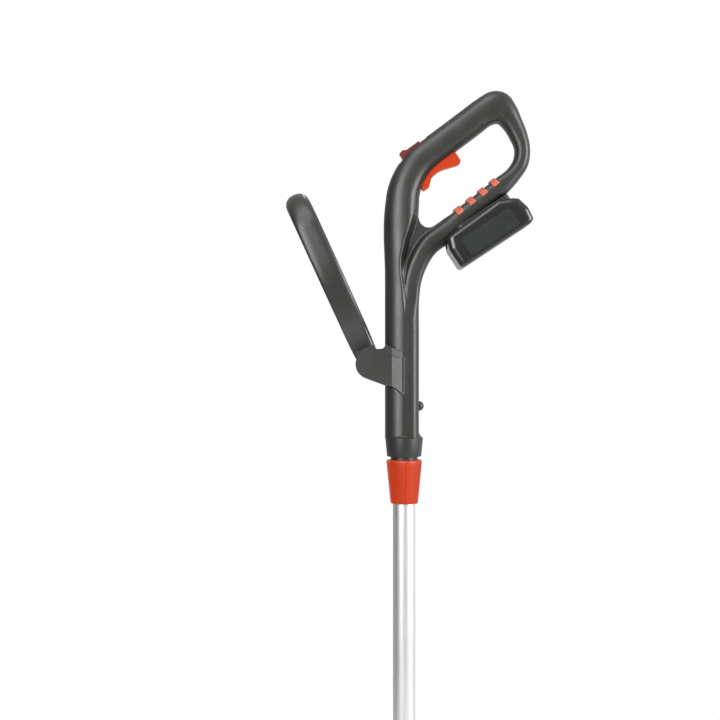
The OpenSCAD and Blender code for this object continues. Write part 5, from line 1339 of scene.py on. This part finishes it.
def white_room(room):
    """A room that is white to the camera, graded in reflections, and lights the part at a plain level."""
    world = bpy.data.worlds.new("white room")
    bpy.context.scene.world = world
    world.use_nodes = True
    tree = world.node_tree
    path = add(tree, "ShaderNodeLightPath").outputs
    seen = maths(tree, path["Is Camera Ray"], path["Is Transmission Ray"], "MAXIMUM")
    way = add(tree, "ShaderNodeTexCoord").outputs["Generated"]
    side = add(tree, "ShaderNodeVectorMath", {0: way, 1: ROOM_SIDE}, operation="DOT_PRODUCT").outputs["Value"]
    rise = add(tree, "ShaderNodeSeparateXYZ", {0: way}).outputs["Z"]
    steep = add(tree, "ShaderNodeMath", {0: rise}, operation="ABSOLUTE").outputs["Value"]
    lit = maths(tree, side, maths(tree, steep, ROOM_RISE), "ADD")
    mirrored = maths(tree, path["Is Glossy Ray"], maths(tree, lit, ROOM_LEVEL, "ADD"))
    level = maths(tree, maths(tree, seen, mirrored, "MAXIMUM"), room, "MAXIMUM")
    wire(tree, tree.nodes["Background"], {"Color": WHITE, "Strength": level})


def floor_finish(radius):
    """Pale floor whose rim fades into the white room."""
    material, tree, shader = blank("pale_floor")
    place = own_place(tree)
    away = add(tree, "ShaderNodeVectorMath", {0: place}, operation="LENGTH").outputs["Value"]
    mirrored = add(tree, "ShaderNodeLightPath").outputs["Is Glossy Ray"]
    tones = (shade(WHITE[:3], tone) for tone in FLOOR_TONES)
    wire(tree, shader, {
        "Alpha": ranged(tree, away, FLOOR_FADE * radius, radius, 1.0, 0.0),
        "Base Color": colours(tree, noise(tree, place, FLOOR_PATCHES, detail=4.0), *tones),
        "Roughness": FLOOR_ROUGH,
        "Emission Color": WHITE,
        "Emission Strength": maths(tree, mirrored, FLOOR_GLOW),
    })
    return material


class TRIMMER_OT_stage(Operator):
    """Sets up the camera, the pale floor and the soft light"""

    bl_idname = "trimmer.stage"
    bl_label = "Stage"
    bl_options = {"REGISTER", "UNDO"}

    def execute(self, context):
        s = context.scene.trimmer_stage
        context.scene.view_settings.view_transform = "Standard"
        lens = bpy.data.cameras.new("photo camera")
        lens.lens = s.lens
        camera = bpy.data.objects.new("photo camera", lens)
        camera.location = s.camera
        camera.rotation_euler = (math.pi / 2, 0.0, 0.0)
        context.scene.collection.objects.link(camera)
        context.scene.camera = camera
        bm = bmesh.new()
        bmesh.ops.create_circle(bm, cap_ends=True, segments=FLOOR_STEPS, radius=s.floor_r)
        floor = made("floor", bm, Matrix.Translation((0.0, 0.0, CAD_BOX[0][2] - FLOOR_DROP)))
        floor.data.materials.append(floor_finish(s.floor_r))
        target = Vector((POLE.x, 0.0, LAMP_AIM))
        for name, watts, turn in (("front lamp", s.front, FRONT_TURN), ("key lamp", s.key, KEY_TURN)):
            a = math.radians(turn)
            place = target + Vector((LAMP_AWAY * math.sin(a), -LAMP_AWAY * math.cos(a), LAMP_RISE))
            lamp(name, watts, LAMP_SIZE, place, target)
        lamp("top lamp", s.top, TOP_SIZE, (POLE.x + TOP_AT[0], *TOP_AT[1:]), (POLE.x, 0.0, TOP_AIM))
        white_room(s.room)
        return {"FINISHED"}


# Panel and registration

OPERATORS = (TRIMMER_OT_stage, TRIMMER_OT_handle_shells, TRIMMER_OT_grip_trim, TRIMMER_OT_second_handle,
             TRIMMER_OT_battery, TRIMMER_OT_twist_clamp, TRIMMER_OT_cutting_head, TRIMMER_OT_inner_pieces)
SETTINGS = {"trimmer_handle": HandleSizes, "trimmer_pack": PackSizes, "trimmer_second": SecondSizes,
            "trimmer_bracket": BracketSizes, "trimmer_clamp": ClampSizes, "trimmer_finishes": FinishColours,
            "trimmer_stage": StageSizes}


class TRIMMER_PT_panel(Panel):
    """Lists the trimmer's pieces in the order in which they are built"""

    bl_idname = "TRIMMER_PT_panel"
    bl_label = "Pole Trimmer"
    bl_space_type = "VIEW_3D"
    bl_region_type = "UI"
    bl_category = "Trimmer"

    def draw(self, context):
        for operator in OPERATORS:
            self.layout.operator(operator.bl_idname)
        for name, settings in SETTINGS.items():
            box = self.layout.box()
            for key in settings.__annotations__:
                box.prop(getattr(context.scene, name), key)


CLASSES = (*SETTINGS.values(), *OPERATORS, TRIMMER_PT_panel)


def register():
    for cls in CLASSES:
        bpy.utils.register_class(cls)
    for name, settings in SETTINGS.items():
        setattr(bpy.types.Scene, name, PointerProperty(type=settings))


def unregister():
    for name in SETTINGS:
        delattr(bpy.types.Scene, name)
    for cls in reversed(CLASSES):
        bpy.utils.unregister_class(cls)


def main():
    register()
    bpy.ops.trimmer.stage()
    bpy.ops.trimmer.handle_shells()
    bpy.ops.trimmer.grip_trim()
    bpy.ops.trimmer.second_handle()
    bpy.ops.trimmer.battery()
    bpy.ops.trimmer.twist_clamp()
    bpy.ops.trimmer.cutting_head()
    bpy.ops.trimmer.inner_pieces()


if __name__ == "__main__":
    main()
